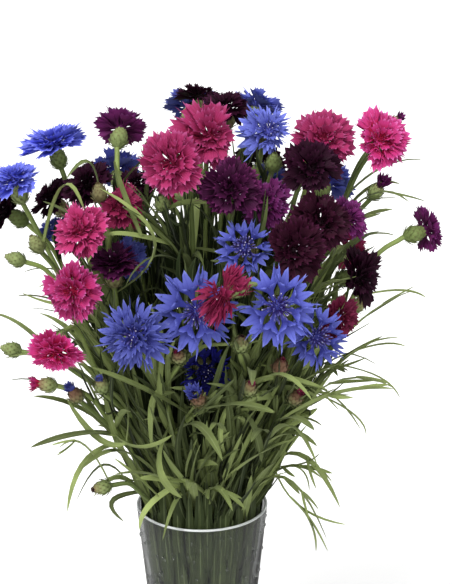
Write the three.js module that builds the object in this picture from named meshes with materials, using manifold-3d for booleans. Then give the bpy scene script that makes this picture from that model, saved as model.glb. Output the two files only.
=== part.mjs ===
// A bunch of cornflowers standing in a conical glass of water.
// Millimetres, +Z up. The origin is the centre of the flat underside of the glass, -Y is the front.
import * as THREE from 'three';
import { mergeVertices } from 'three/addons/utils/BufferGeometryUtils.js';
import Module from 'manifold-3d';

const wasm = await Module();
wasm.setup();

// Glass and water
const GLASS_HEIGHT = 150;
const GLASS_BASE_RADIUS = 30;
const GLASS_RIM_RADIUS = 45;
const GLASS_WALL = 1.8;
const GLASS_FLOOR = 6;
const GLASS_SIDES = 20;
const WATER_LEVEL = 92;
const CLEARANCE = 0.3;
const JOIN_TOLERANCE = 0.03;

// Stems spread as a cone: narrow in the glass, wider above its rim
const STEM_RADIUS = 1.7;
const STEM_SIDES = 4;
const FORK_RADIUS = 1.1;
const SPREAD_AT_FLOOR = 19;
const SPREAD_AT_RIM = 35;
const SPREAD_PER_MM_ABOVE_RIM = 0.55;
const FIRST_FORK = 104;
const LAST_FORK = 196;
const MAIN_STEM_TOP = 200;
const BRANCH_POINTS = 6;
const BUD_POINTS = 4;
const BUD_STALK = 35;
const STEM_GAP = 6.5;
const SIBLING_GAP = 5;
const RELAX_ROUNDS = 40;

// Green cup under each bloom, and the smaller closed bud
const CUP = { length: 13, belly: 5, neck: 3.6 };
const BUD = { length: 12, belly: 4.3, neck: 1.5 };

// Blooms
const HEAD_SPACING = 0.84;
const SETTLE_ROUNDS = 60;
const SIDEWAYS_SHARE = 0.3;

// Leaves: an outline is the share of the full width at each point of the midrib
const LEAVES_PER_STEM = 8;
const LEAF_TRIES = 24;
const LEAF_GAP = 0.8;
const LEAF_KEEL = 1.3;
const LEAF_OUTLINE = [0.4, 1, 0.8, 0];

// Each bloom: colour, form, stem, x, y, z of its centre, radius, and the way it faces.
// Azimuth 0 faces the front and 90 the right; elevation 90 faces straight up.
const BLOOMS = [
  ['blue', 'double', 1, -95, 10, 394, 23, -90, 75],
  ['blue', 'double', 1, -117, -5, 376, 20, -60, 72],
  ['maroon', 'double', 1, -126, 20, 350, 17, -80, 35],
  ['maroon', 'double', 1, -98, 28, 356, 17, -60, 45],
  ['blue', 'double', 1, -100, 48, 328, 15, -110, 35],
  ['blue', 'double', 1, -60, 75, 365, 20, -150, 45],
  ['magenta', 'double', 1, -70, 90, 315, 19, -145, 20],
  ['maroon', 'double', 2, -71, -5, 374, 18, -40, 50],
  ['purple', 'double', 2, -52, 15, 406, 18, 170, 40],
  ['maroon', 'double', 2, -42, 0, 372, 14, 0, 55],
  ['blue', 'double', 2, -47, -12, 327, 15, 0, 30],
  ['magenta', 'double', 3, -71, -50, 355, 19, -25, 30],
  ['crimson', 'double', 3, -51, -30, 366, 17, 20, 40],
  ['dusk', 'double', 3, -54, -45, 331, 18, 10, 75],
  ['pink', 'double', 3, -76, -70, 325, 19, -20, 8],
  ['pink', 'double', 3, -89, -60, 284, 19, -15, -35],
  ['blue', 'double', 4, -37, -100, 306, 22, -12, 12],
  ['blue', 'single', 4, 0, -88, 317, 27, 0, 10],
  ['navy', 'single', 4, 3, -62, 270, 17, 5, 5],
  ['crimson', 'narrow', 5, 18, -102, 333, 15, -60, -15],
  ['blue', 'single', 5, 47, -92, 323, 25, 5, 12],
  ['blue', 'single', 5, 31, -60, 347, 19, -10, 30],
  ['blue', 'single', 6, 70, -80, 299, 20, 20, 12],
  ['wine', 'double', 6, 55, -68, 349, 20, 0, 15],
  ['crimson', 'double', 6, 86, -50, 304, 15, 40, 0],
  ['maroon', 'double', 7, 96, -40, 320, 21, 55, 12],
  ['wine', 'double', 7, 74, -45, 359, 21, 15, 30],
  ['purple', 'double', 7, 91, -20, 355, 16, 50, 30],
  ['purple', 'double', 7, 144, 0, 343, 16, 110, 10],
  ['maroon', 'double', 8, 69, -35, 392, 20, 10, 20],
  ['magenta', 'double', 8, 78, 0, 402, 21, 10, 40],
  ['pink', 'double', 8, 114, 5, 401, 21, 15, 35],
  ['purple', 'double', 8, 41, -20, 367, 18, 0, 30],
  ['light_blue', 'double', 8, 43, -5, 409, 20, 10, 30],
  ['magenta', 'double', 9, -14, -40, 399, 21, -20, 15],
  ['magenta', 'double', 9, 5, -15, 408, 24, 5, 35],
  ['dusk', 'double', 9, 20, -45, 381, 21, 0, 20],
  ['maroon', 'double', 9, 18, 20, 418, 17, 0, 65],
  ['maroon', 'double', 10, -1, 35, 421, 17, 180, 70],
  ['blue', 'double', 10, -8, 60, 412, 19, 180, 45],
  ['light_blue', 'double', 10, 32, 28, 417, 19, 150, 60],
  ['blue', 'double', 10, 45, 30, 367, 16, 170, 40],
  ['pink', 'double', 11, -15, 95, 350, 20, -170, 25],
  ['maroon', 'double', 11, 40, 75, 370, 19, 165, 35],
  ['blue', 'double', 11, 85, 60, 360, 20, 140, 35],
  ['purple', 'double', 11, 30, 105, 320, 18, 170, 10],
  ['crimson', 'double', 11, 100, 75, 310, 18, 130, 15],
];

// Each closed bud: stem, x, y, z of its tip, and the way it points
const BUDS = [
  [8, 129, 20, 414, 60, 45],
  [8, 116, 0, 374, 50, 55],
  [3, -103, -50, 256, -80, 10],
  [3, -82, -50, 252, -45, 55],
  [3, -63, -60, 262, -20, 60],
  [4, -13, -85, 289, -10, 40],
  [4, -2, -85, 262, -20, 45],
  [5, 26, -95, 302, 10, 60],
  [5, 32, -85, 269, 15, 50],
  [6, 62, -75, 259, 35, 45],
  [6, 51, -80, 282, 25, 60],
  [4, 3, -34, 162, 0, 60],
  [3, -69, -50, 183, -60, 0],
  [3, -63, -35, 382, -20, 70],
  [1, -125, -10, 329, -80, 20],
  [1, -106, -30, 347, -60, 60],
  [3, -129, -20, 270, -85, 15],
  [2, -33, 10, 400, 0, 80],
  [8, 47, -20, 398, 20, 70],
  [9, -24, -45, 377, -20, 60],
  [11, 60, 95, 275, 150, 40],
  [11, -35, 100, 262, -165, 45],
  [1, -95, 70, 270, -130, 30],
  [7, 110, 20, 290, 90, 35],
];

// Long leaves that give the bunch its outline: stem, root height on it, x, y, z of the tip, arch, width
const REACHING_LEAVES = [
  [7, 250, 138, -25, 311, 10, 4.5],
  [7, 215, 130, -20, 277, 16, 5],
  [7, 205, 128, -25, 243, 22, 5],
  [6, 200, 105, -35, 218, 20, 5],
  [7, 175, 93, -30, 160, 26, 4.5],
  [6, 165, 84, -42, 142, 30, 5],
  [3, 220, -128, -30, 266, 12, 5],
  [3, 200, -91, -55, 214, 16, 5.5],
  [3, 180, -82, -45, 172, 20, 5],
  [3, 168, -72, -30, 168, 14, 5],
  [4, 172, -25, -58, 150, 12, 5],
  [11, 180, 40, 90, 170, 24, 5],
  [11, 215, 95, 85, 235, 20, 5],
  [1, 185, -85, 60, 190, 26, 5],
  [1, 215, -115, 55, 240, 18, 5],
];

const COLOURS = {
  blue: 0x5560c8,
  light_blue: 0x7a80dd,
  navy: 0x24249a,
  magenta: 0x9a2a68,
  pink: 0xd03078,
  crimson: 0xa01c48,
  purple: 0x5a1a60,
  dusk: 0x3a0f35,
  wine: 0x4a1028,
  maroon: 0x2a0814,
  green: 0x6b8040,
  glass: 0xc8d2d0,
  water: 0xb8c8c4,
};

const UP = new THREE.Vector3(0, 0, 1);

// Seeded random numbers from 0 to 1
let seed = 2024;
function random() {
  seed = (seed * 1664525 + 1013904223) % 4294967296;
  return seed / 4294967296;
}

function between(low, high) {
  return low + (high - low) * random();
}

// Unit vector for a compass bearing seen from above, where 0 is the front, and a height angle
function facing(azimuth, elevation) {
  const a = THREE.MathUtils.degToRad(azimuth);
  const e = THREE.MathUtils.degToRad(elevation);
  return new THREE.Vector3(Math.sin(a) * Math.cos(e), -Math.cos(a) * Math.cos(e), Math.sin(e));
}

// How wide the cone of stems is at a height
function spread(z) {
  if (z < GLASS_HEIGHT) {
    return SPREAD_AT_FLOOR + (SPREAD_AT_RIM - SPREAD_AT_FLOOR) * (z / GLASS_HEIGHT);
  }
  return SPREAD_AT_RIM + SPREAD_PER_MM_ABOVE_RIM * (z - GLASS_HEIGHT);
}

function glassRadius(z) {
  return GLASS_BASE_RADIUS + (GLASS_RIM_RADIUS - GLASS_BASE_RADIUS) * (z / GLASS_HEIGHT);
}

// Keeps a point near the glass inside it
function insideGlass(point, room) {
  if (point.z > GLASS_HEIGHT + 14) {
    return;
  }
  const limit = glassRadius(Math.min(point.z, GLASS_HEIGHT)) - GLASS_WALL - room;
  const radius = Math.sqrt(point.x * point.x + point.y * point.y);
  if (radius > limit) {
    point.x *= limit / radius;
    point.y *= limit / radius;
  }
}

// Layout of the blooms: crowded heads move apart, mostly in depth
function placeBlooms() {
  const blooms = BLOOMS.map(([colour, form, stem, x, y, z, radius, azimuth, elevation]) => ({
    colour,
    form,
    stem,
    radius,
    centre: new THREE.Vector3(x, y, z),
    axis: facing(azimuth, elevation),
  }));
  for (let round = 0; round < SETTLE_ROUNDS; round += 1) {
    for (let i = 0; i < blooms.length; i += 1) {
      for (let j = i + 1; j < blooms.length; j += 1) {
        const a = blooms[i].centre;
        const b = blooms[j].centre;
        const reach = (blooms[i].radius + blooms[j].radius) * HEAD_SPACING;
        const gap = b.clone().sub(a);
        const distance = gap.length();
        if (distance < reach) {
          const push = (reach - distance) / distance / 2;
          const move = gap.multiplyScalar(push);
          move.x *= SIDEWAYS_SHARE;
          move.z *= SIDEWAYS_SHARE;
          a.sub(move);
          b.add(move);
        }
      }
    }
  }
  return blooms;
}

// A branch from its fork to the foot of its cup or bud, as points on a cubic curve
function branchPoints(fork, foot, axis, count) {
  const length = fork.distanceTo(foot);
  const rise = fork.clone().addScaledVector(UP, length * 0.4);
  rise.x += (foot.x - fork.x) * 0.2;
  rise.y += (foot.y - fork.y) * 0.2;
  const approach = foot.clone().addScaledVector(axis, -Math.min(30, length * 0.3));
  const curve = new THREE.CubicBezierCurve3(fork, rise, approach, foot);
  return Array.from({ length: count }, (_, i) => curve.getPoint(i / (count - 1)));
}

// Main stems with a branch to each bloom. Every strand is a row of points that belongs to one leafy stem.
function placeBranches(blooms) {
  const strands = [];
  const stemCount = Math.max(...blooms.map((bloom) => bloom.stem));
  for (let stem = 1; stem <= stemCount; stem += 1) {
    const own = blooms.filter((bloom) => bloom.stem === stem);
    let qx = 0;
    let qy = 0;
    for (const bloom of own) {
      qx += bloom.centre.x / spread(bloom.centre.z) / own.length;
      qy += bloom.centre.y / spread(bloom.centre.z) / own.length;
    }
    const at = (z) => new THREE.Vector3(qx * spread(z), qy * spread(z), z);
    const heights = [GLASS_FLOOR + CLEARANCE, 60, 110, GLASS_HEIGHT, 175, MAIN_STEM_TOP];
    strands.push({ stem, kind: 'main', points: heights.map(at) });
    own.sort((a, b) => a.centre.z - b.centre.z);
    own.forEach((bloom, i) => {
      const height = FIRST_FORK + ((LAST_FORK - FIRST_FORK) * (i + 0.5)) / own.length;
      const { centre: tip, axis } = bloom;
      const foot = tip.clone().addScaledVector(axis, -CUP.length);
      const points = branchPoints(at(height), foot, axis, BRANCH_POINTS);
      strands.push({ stem, kind: 'bloom', bloom, tip, axis, form: CUP, points });
    });
  }
  return strands;
}

// Side shoots with a closed bud, each from the nearest suitable point of its own stem
function placeBuds(strands) {
  return BUDS.map(([stem, x, y, z, azimuth, elevation]) => {
    const tip = new THREE.Vector3(x, y, z);
    const axis = facing(azimuth, elevation);
    const foot = tip.clone().addScaledVector(axis, -BUD.length);
    const wish = foot.clone().addScaledVector(UP, -BUD_STALK);
    const own = strands.filter((strand) => strand.stem === stem);
    const forks = own.flatMap((strand) => strand.points.slice(1, -2)).filter((point) => point.z < foot.z - 10);
    forks.sort((a, b) => a.distanceTo(wish) - b.distanceTo(wish));
    return { stem, kind: 'bud', tip, axis, form: BUD, points: branchPoints(forks[0], foot, axis, BUD_POINTS) };
  });
}

// Nearest point to a point on a segment
function nearest(point, a, b) {
  const along = b.clone().sub(a);
  const t = point.clone().sub(a).dot(along) / along.lengthSq();
  return a.clone().addScaledVector(along, Math.min(1, Math.max(0, t)));
}

// Branches bend round the blooms and the strands of other stems
function relaxStrands(moving, strands, blooms) {
  for (let round = 0; round < RELAX_ROUNDS; round += 1) {
    for (const strand of moving) {
      for (let k = 1; k < strand.points.length - 2; k += 1) {
        const point = strand.points[k];
        const middle = strand.points[k - 1].clone().add(strand.points[k + 1]).multiplyScalar(0.5);
        point.lerp(middle, 0.25);
        for (const bloom of blooms) {
          if (bloom === strand.bloom) {
            continue;
          }
          const heart = bloom.centre.clone().addScaledVector(bloom.axis, bloom.radius * 0.2);
          const away = point.clone().sub(heart);
          const room = bloom.radius * 0.85 + STEM_RADIUS + 2;
          const distance = away.length();
          if (distance < room) {
            point.addScaledVector(away, ((room - distance) / distance) * 0.5);
          }
        }
        for (const other of strands) {
          const related = other.stem === strand.stem;
          if (other === strand || (related && k === 1)) {
            continue;
          }
          const route = other.tip ? [...other.points, other.tip] : other.points;
          for (let m = 1; m < route.length; m += 1) {
            const room = (related ? SIBLING_GAP : STEM_GAP) + (m === other.points.length ? CUP.belly : 0);
            const away = point.clone().sub(nearest(point, route[m - 1], route[m]));
            const distance = away.length();
            if (distance < room && distance > 0) {
              point.addScaledVector(away, ((room - distance) / distance) * 0.5);
            }
          }
        }
        insideGlass(point, STEM_RADIUS + 3);
      }
    }
  }
}

// Placed balls, by which everything added later keeps clear of what other nodes hold
const balls = [];

function ballsAlong(points, radii, step) {
  const row = [];
  for (let i = 1; i < points.length; i += 1) {
    const count = Math.max(1, Math.ceil(points[i - 1].distanceTo(points[i]) / step));
    for (let k = 0; k < count; k += 1) {
      const t = k / count;
      const place = points[i - 1].clone().lerp(points[i], t);
      row.push({ place, radius: radii[i - 1] + (radii[i] - radii[i - 1]) * t });
    }
  }
  row.push({ place: points[points.length - 1].clone(), radius: radii[radii.length - 1] });
  return row;
}

function claim(row, owner) {
  for (const ball of row) {
    balls.push({ ...ball, owner });
  }
}

function isClear(row, gap, ...owners) {
  for (const ball of row) {
    for (const other of balls) {
      const room = ball.radius + other.radius + gap;
      if (!owners.includes(other.owner) && ball.place.distanceToSquared(other.place) < room * room) {
        return false;
      }
    }
  }
  return true;
}

// Whether every ball misses the wall of the glass
function missesGlass(row) {
  return row.every(({ place, radius }) => {
    if (place.z > GLASS_HEIGHT + radius + 1.5) {
      return true;
    }
    const away = Math.sqrt(place.x * place.x + place.y * place.y) - glassRadius(Math.min(place.z, GLASS_HEIGHT));
    return away > radius + 1 || away < -GLASS_WALL - radius - 1;
  });
}

// Closed solids from three.js geometry
function toSolid(geometry) {
  geometry.deleteAttribute('normal');
  geometry.deleteAttribute('uv');
  const merged = mergeVertices(geometry, 1e-4);
  const index = merged.index.array;
  const triangles = [];
  for (let i = 0; i < index.length; i += 3) {
    const [a, b, c] = [index[i], index[i + 1], index[i + 2]];
    if (a !== b && b !== c && c !== a) {
      triangles.push(a, b, c);
    }
  }
  const make = (faces) => new wasm.Manifold(new wasm.Mesh({
    numProp: 3,
    vertProperties: new Float32Array(merged.attributes.position.array),
    triVerts: new Uint32Array(faces),
  }));
  const solid = make(triangles);
  return solid.volume() > 0 ? solid : make(triangles.reverse());
}

function toMesh(solid, name, colour, roughness) {
  const data = solid.getMesh();
  const geometry = new THREE.BufferGeometry();
  geometry.setAttribute('position', new THREE.BufferAttribute(data.vertProperties, 3));
  geometry.setIndex(new THREE.BufferAttribute(data.triVerts, 1));
  geometry.computeVertexNormals();
  const material = new THREE.MeshStandardMaterial({ color: colour, roughness, metalness: 0, flatShading: true });
  const mesh = new THREE.Mesh(geometry, material);
  mesh.name = name;
  return mesh;
}

function join(solids) {
  return wasm.Manifold.union(solids);
}

function indexedSolid(points, faces) {
  const geometry = new THREE.BufferGeometry();
  geometry.setFromPoints(points);
  geometry.setIndex(faces.flat());
  return toSolid(geometry);
}

// A skin over rows of points. A row of one point closes that end, and a longer end row gets a flat cap.
function skin(rows) {
  const points = rows.flat();
  const faces = [];
  const starts = rows.map((_, i) => rows.slice(0, i).flat().length);
  for (let i = 1; i < rows.length; i += 1) {
    const [lowCount, highCount] = [rows[i - 1].length, rows[i].length];
    const count = Math.max(lowCount, highCount);
    for (let k = 0; k < count; k += 1) {
      const next = (k + 1) % count;
      const low = [starts[i - 1] + (k % lowCount), starts[i - 1] + (next % lowCount)];
      const high = [starts[i] + (k % highCount), starts[i] + (next % highCount)];
      if (lowCount > 1) {
        faces.push([low[0], low[1], high[1]]);
      }
      if (highCount > 1) {
        faces.push([low[0], high[1], high[0]]);
      }
    }
  }
  for (const [i, flip] of [[0, true], [rows.length - 1, false]]) {
    for (let k = 2; k < rows[i].length; k += 1) {
      const cap = [starts[i], starts[i] + k - 1, starts[i] + k];
      faces.push(flip ? cap.reverse() : cap);
    }
  }
  return indexedSolid(points, faces);
}

// Stalk along a row of points, with its own radius at each, pointed where that is 0
function stalk(points, radii) {
  let across = new THREE.Vector3(1, 0, 0);
  const rows = points.map((point, k) => {
    const ahead = points[Math.min(k + 1, points.length - 1)];
    const along = ahead.clone().sub(points[Math.max(k - 1, 0)]).normalize();
    across = across.clone().addScaledVector(along, -across.dot(along)).normalize();
    const beside = along.clone().cross(across);
    if (radii[k] === 0) {
      return [point];
    }
    return Array.from({ length: STEM_SIDES }, (_, i) => {
      const angle = (2 * Math.PI * i) / STEM_SIDES;
      return point.clone()
        .addScaledVector(across, radii[k] * Math.cos(angle))
        .addScaledVector(beside, radii[k] * Math.sin(angle));
    });
  });
  return skin(rows);
}

// Points of a leaf's midrib: it leaves the stem, rises by the arch, and comes down to its tip
function leafPoints(root, tip, arch) {
  const points = [];
  for (const t of [0, 0.3, 0.68, 1]) {
    const point = root.clone().lerp(tip, t);
    point.z += arch * 4 * t * (1 - t);
    points.push(point);
  }
  return points;
}

function leafRadii(width) {
  return LEAF_OUTLINE.map((share) => Math.max(0.5, (share * width) / 2));
}

// Narrow keeled blade along its midrib
function leaf(points, width) {
  const rows = points.map((point, k) => {
    if (LEAF_OUTLINE[k] === 0) {
      return [point];
    }
    const along = points[k + 1].clone().sub(points[Math.max(0, k - 1)]).normalize();
    const across = along.clone().cross(UP).normalize();
    const under = across.clone().cross(along).normalize();
    const half = (LEAF_OUTLINE[k] * width) / 2;
    return [
      point.clone().addScaledVector(across, -half),
      point.clone().addScaledVector(under, LEAF_KEEL),
      point.clone().addScaledVector(across, half),
    ];
  });
  return skin(rows);
}

// Rings of a bloom's small core, from its foot on the cup: radius and height
const CORE_RINGS = [[3.3, 0], [4.6, 3], [3, 5.6]];

// Each form: sides of its core, then for the outer and inner florets the tilt from the bloom's plane, the
// sway of every second one, their reach as a share of the bloom's radius, their half-width as a share of
// their length, and how many facets carry one
const FORMS = {
  single: { sides: 8, outer: [14, 5, 1, 0.33, 8], inner: [62, 6, 0.5, 0.2, 4] },
  double: { sides: 7, outer: [10, 7, 1, 0.38, 7], inner: [50, 9, 0.8, 0.27, 4] },
  narrow: { sides: 6, outer: [40, 12, 1.3, 0.24, 6], inner: [70, 6, 1.1, 0.2, 3] },
};

// Axes of a bloom: two across it and one along its axis
function bloomAxes(axis) {
  const side = Math.abs(axis.z) < 0.95 ? UP.clone() : new THREE.Vector3(0, -1, 0);
  const across = side.cross(axis).normalize();
  return [across, axis.clone().cross(across), axis];
}

// Floret drawn out of a four-cornered facet of the core: a fan with three pointed lobes, hollow on top
function floret(positions, faces, corners, root, direction, axis, length, half) {
  const across = axis.clone().cross(direction).normalize();
  const up = direction.clone().cross(across);
  const rim = [[-1, 0.86], [-0.55, 0.74], [0, 1], [0.55, 0.74], [1, 0.86]].map(([side, reach]) => {
    const point = root.clone()
      .addScaledVector(direction, length * reach)
      .addScaledVector(across, half * side)
      .addScaledVector(up, half * 0.45 * side * side);
    positions.push(point);
    return positions.length - 1;
  });
  const [lowLeft, lowRight, highRight, highLeft] = corners;
  faces.push([lowLeft, rim[0], highLeft], [highRight, rim[4], lowRight]);
  faces.push([highLeft, rim[0], rim[1]], [highLeft, rim[1], rim[2]], [highLeft, rim[2], highRight]);
  faces.push([highRight, rim[2], rim[3]], [highRight, rim[3], rim[4]]);
  faces.push([lowLeft, rim[1], rim[0]], [lowLeft, rim[2], rim[1]], [lowLeft, lowRight, rim[2]]);
  faces.push([lowRight, rim[3], rim[2]], [lowRight, rim[4], rim[3]]);
}

// One bloom: a small core whose facets are drawn out into florets, shorter where a neighbour leaves no room
function bloomSolid(bloom, owner, cupOwner) {
  const [across, beside, axis] = bloomAxes(bloom.axis);
  const foot = bloom.centre.clone().addScaledVector(axis, CLEARANCE);
  const { sides, outer, inner } = FORMS[bloom.form];
  const positions = [];
  const faces = [];
  const turn = random();
  for (const [radius, height] of CORE_RINGS) {
    for (let k = 0; k < sides; k += 1) {
      const angle = (2 * Math.PI * (k + turn)) / sides;
      positions.push(foot.clone()
        .addScaledVector(axis, height)
        .addScaledVector(across, radius * Math.cos(angle))
        .addScaledVector(beside, radius * Math.sin(angle)));
    }
  }
  for (let k = 2; k < sides; k += 1) {
    faces.push([0, k, k - 1], [2 * sides, 2 * sides + k - 1, 2 * sides + k]);
  }
  const rows = [[{ place: foot.clone().addScaledVector(axis, CORE_RINGS[1][1]), radius: CORE_RINGS[1][0] }]];
  [outer, inner].forEach(([tilt, sway, reach, width, count], ring) => {
    for (let k = 0; k < sides; k += 1) {
      const next = (k + 1) % sides;
      const low = ring * sides;
      const high = low + sides;
      const corners = [low + k, low + next, high + next, high + k];
      const angle = (2 * Math.PI * (k + turn + 0.5)) / sides;
      const lean = THREE.MathUtils.degToRad(tilt + (k % 2 === 0 ? sway : -sway));
      const direction = across.clone().multiplyScalar(Math.cos(angle) * Math.cos(lean))
        .addScaledVector(beside, Math.sin(angle) * Math.cos(lean))
        .addScaledVector(axis, Math.sin(lean));
      const root = corners.reduce((sum, c) => sum.addScaledVector(positions[c], 0.25), new THREE.Vector3());
      const full = bloom.radius * reach * between(0.92, 1);
      const wanted = Math.floor(((k + 1) * count) / sides) > Math.floor((k * count) / sides);
      const length = wanted && [1, 0.88, 0.76, 0.64].map((share) => full * share - 3).find((trial) => {
        const half = trial * width;
        const points = [0.35, 0.75, 0.9].map((t) => root.clone().addScaledVector(direction, trial * t));
        const row = ballsAlong(points, [half * 0.4, half * 0.85, half], 3);
        const clear = isClear(row, 0.6, owner, cupOwner);
        if (clear) {
          rows.push(row);
        }
        return clear;
      });
      if (length) {
        floret(positions, faces, corners, root, direction, axis, length, length * width);
      } else {
        faces.push([corners[0], corners[1], corners[2]], [corners[0], corners[2], corners[3]]);
      }
    }
  });
  rows.forEach((row) => claim(row, owner));
  return indexedSolid(positions, faces);
}

// Glass and water
function glassSolid() {
  const wallTop = GLASS_RIM_RADIUS - GLASS_WALL;
  const profile = [
    [0, 0],
    [GLASS_BASE_RADIUS, 0],
    [GLASS_RIM_RADIUS, GLASS_HEIGHT],
    [GLASS_RIM_RADIUS - GLASS_WALL / 2, GLASS_HEIGHT + GLASS_WALL / 2],
    [wallTop, GLASS_HEIGHT],
    [glassRadius(GLASS_FLOOR) - GLASS_WALL, GLASS_FLOOR],
    [0, GLASS_FLOOR],
  ];
  const geometry = new THREE.LatheGeometry(profile.map(([r, z]) => new THREE.Vector2(r, z)), GLASS_SIDES);
  geometry.rotateX(Math.PI / 2);
  return toSolid(geometry);
}

function waterSolid(strands) {
  const bottom = GLASS_FLOOR + CLEARANCE;
  const edge = (z) => glassRadius(z) - GLASS_WALL - CLEARANCE;
  const profile = [[0, bottom], [edge(bottom), bottom], [edge(WATER_LEVEL), WATER_LEVEL], [0, WATER_LEVEL]];
  const geometry = new THREE.LatheGeometry(profile.map(([r, z]) => new THREE.Vector2(r, z)), GLASS_SIDES);
  geometry.rotateX(Math.PI / 2);
  const radius = STEM_RADIUS + 2 * CLEARANCE;
  const holes = strands.filter((strand) => strand.kind === 'main').map((strand) => {
    const low = strand.points[0].clone().lerp(strand.points[2], -0.05);
    const high = strand.points[2].clone();
    return stalk([low, high], [radius, radius]);
  });
  return toSolid(geometry).subtract(join(holes));
}

// Putting the bunch together
const blooms = placeBlooms();
const strands = placeBranches(blooms);
relaxStrands(strands.filter((strand) => strand.kind === 'bloom'), strands, blooms);
const buds = placeBuds(strands);
strands.push(...buds);
relaxStrands(buds, strands, blooms);

const greens = new Map();
strands.forEach((strand, i) => {
  const { stem, kind, points, form, axis } = strand;
  strand.owner = `leafy_stem_${String(stem).padStart(2, '0')}`;
  if (!greens.has(strand.owner)) {
    greens.set(strand.owner, []);
  }
  claim(ballsAlong(points, points.map(() => STEM_RADIUS), 2), strand.owner);
  const spine = [...points];
  const radii = points.map(() => STEM_RADIUS);
  if (kind !== 'main') {
    const foot = points[points.length - 1];
    const middle = foot.clone().addScaledVector(axis, form.length * 0.42);
    const top = foot.clone().addScaledVector(axis, form.length);
    strand.cupOwner = `${strand.owner}_cup_${i}`;
    radii[0] = FORK_RADIUS;
    spine.push(middle, top);
    radii.push(form.belly, form.neck);
    const collar = foot.clone().addScaledVector(axis, form.length - 2);
    claim(ballsAlong([foot, middle, collar], [2, form.belly, form.neck], 2), strand.cupOwner);
  }
  greens.get(strand.owner).push(stalk(spine, radii));
});

const group = new THREE.Group();
group.add(toMesh(glassSolid(), 'glass_vase', COLOURS.glass, 0.05));
group.add(toMesh(waterSolid(strands), 'vase_water', COLOURS.water, 0.05));

blooms.forEach((bloom, i) => {
  const name = `bloom_${bloom.colour}_${String(i + 1).padStart(2, '0')}`;
  const { cupOwner } = strands.find((strand) => strand.bloom === bloom);
  group.add(toMesh(bloomSolid(bloom, name, cupOwner), name, COLOURS[bloom.colour], 0.75));
});

// Leaves: first those that reach out of the bunch, then the others by seeded draws
function addLeaf(solids, owner, points, width) {
  const radii = leafRadii(width);
  const near = ballsAlong(points.slice(0, 2), radii.slice(0, 2), 2);
  const far = ballsAlong(points.slice(1), radii.slice(1), 2);
  const row = [...near, ...far];
  const cups = strands.filter((strand) => strand.owner === owner).map((strand) => strand.cupOwner);
  if (!missesGlass(row) || !isClear(far, LEAF_GAP) || !isClear(near, LEAF_GAP, owner, ...cups)) {
    return false;
  }
  solids.push(leaf(points, width));
  claim(row, owner);
  return true;
}

function strandPoint(strand, z) {
  const { points } = strand;
  let k = 1;
  while (k < points.length - 1 && points[k].z < z) {
    k += 1;
  }
  const t = (z - points[k - 1].z) / (points[k].z - points[k - 1].z);
  return points[k - 1].clone().lerp(points[k], Math.min(1, Math.max(0, t)));
}

for (const [stem, height, x, y, z, arch, width] of REACHING_LEAVES) {
  const tip = new THREE.Vector3(x, y, z);
  const own = strands.filter((strand) => strand.stem === stem);
  const roots = own.map((strand) => strandPoint(strand, height));
  roots.sort((a, b) => a.distanceTo(tip) - b.distanceTo(tip));
  const owner = own[0].owner;
  roots.some((root) => addLeaf(greens.get(owner), owner, leafPoints(root, tip, arch), width));
}

for (const [owner, solids] of greens) {
  const own = strands.filter((strand) => strand.owner === owner);
  for (let n = 0; n < LEAVES_PER_STEM; n += 1) {
    for (let attempt = 0; attempt < LEAF_TRIES; attempt += 1) {
      const strand = own[Math.floor(random() * own.length)];
      const k = 1 + Math.floor(random() * (strand.points.length - 2));
      const root = strand.points[k - 1].clone().lerp(strand.points[k], random());
      const along = strand.points[k].clone().sub(strand.points[k - 1]).normalize();
      const outward = facing(between(-180, 180), 0);
      outward.x += root.x / 90;
      outward.y += root.y / 90;
      outward.normalize();
      const length = between(45, 95);
      const direction = along.multiplyScalar(between(0.2, 1)).add(outward.multiplyScalar(between(0.5, 1)));
      const tip = root.clone().addScaledVector(direction.normalize(), length);
      const arch = between(2, 0.28 * length);
      const width = between(4, 7);
      if (root.z > GLASS_HEIGHT + 4 && addLeaf(solids, owner, leafPoints(root, tip, arch), width)) {
        break;
      }
    }
  }
  group.add(toMesh(join(solids).simplify(JOIN_TOLERANCE), owner, COLOURS.green, 0.7));
}

export default group;
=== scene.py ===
import math

import bpy
import numpy as np
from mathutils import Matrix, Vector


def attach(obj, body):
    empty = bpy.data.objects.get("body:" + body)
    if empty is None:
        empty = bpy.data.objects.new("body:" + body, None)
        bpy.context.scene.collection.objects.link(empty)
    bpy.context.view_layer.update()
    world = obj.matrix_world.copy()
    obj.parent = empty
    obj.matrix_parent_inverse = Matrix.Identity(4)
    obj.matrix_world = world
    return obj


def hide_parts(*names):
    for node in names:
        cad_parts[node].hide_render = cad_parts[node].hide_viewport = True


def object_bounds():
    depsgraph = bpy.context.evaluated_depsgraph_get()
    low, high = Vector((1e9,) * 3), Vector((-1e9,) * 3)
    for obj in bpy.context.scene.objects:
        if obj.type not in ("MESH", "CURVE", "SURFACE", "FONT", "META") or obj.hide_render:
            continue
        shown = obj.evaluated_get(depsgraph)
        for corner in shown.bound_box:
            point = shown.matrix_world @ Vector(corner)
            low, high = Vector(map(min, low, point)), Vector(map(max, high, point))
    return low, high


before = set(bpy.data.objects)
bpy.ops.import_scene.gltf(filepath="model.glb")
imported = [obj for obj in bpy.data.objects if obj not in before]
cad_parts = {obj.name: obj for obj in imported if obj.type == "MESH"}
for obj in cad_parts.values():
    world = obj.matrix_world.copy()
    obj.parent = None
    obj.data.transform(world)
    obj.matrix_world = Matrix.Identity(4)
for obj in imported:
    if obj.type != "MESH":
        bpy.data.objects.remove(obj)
solid_low, solid_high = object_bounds()
MM = 0.001

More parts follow.
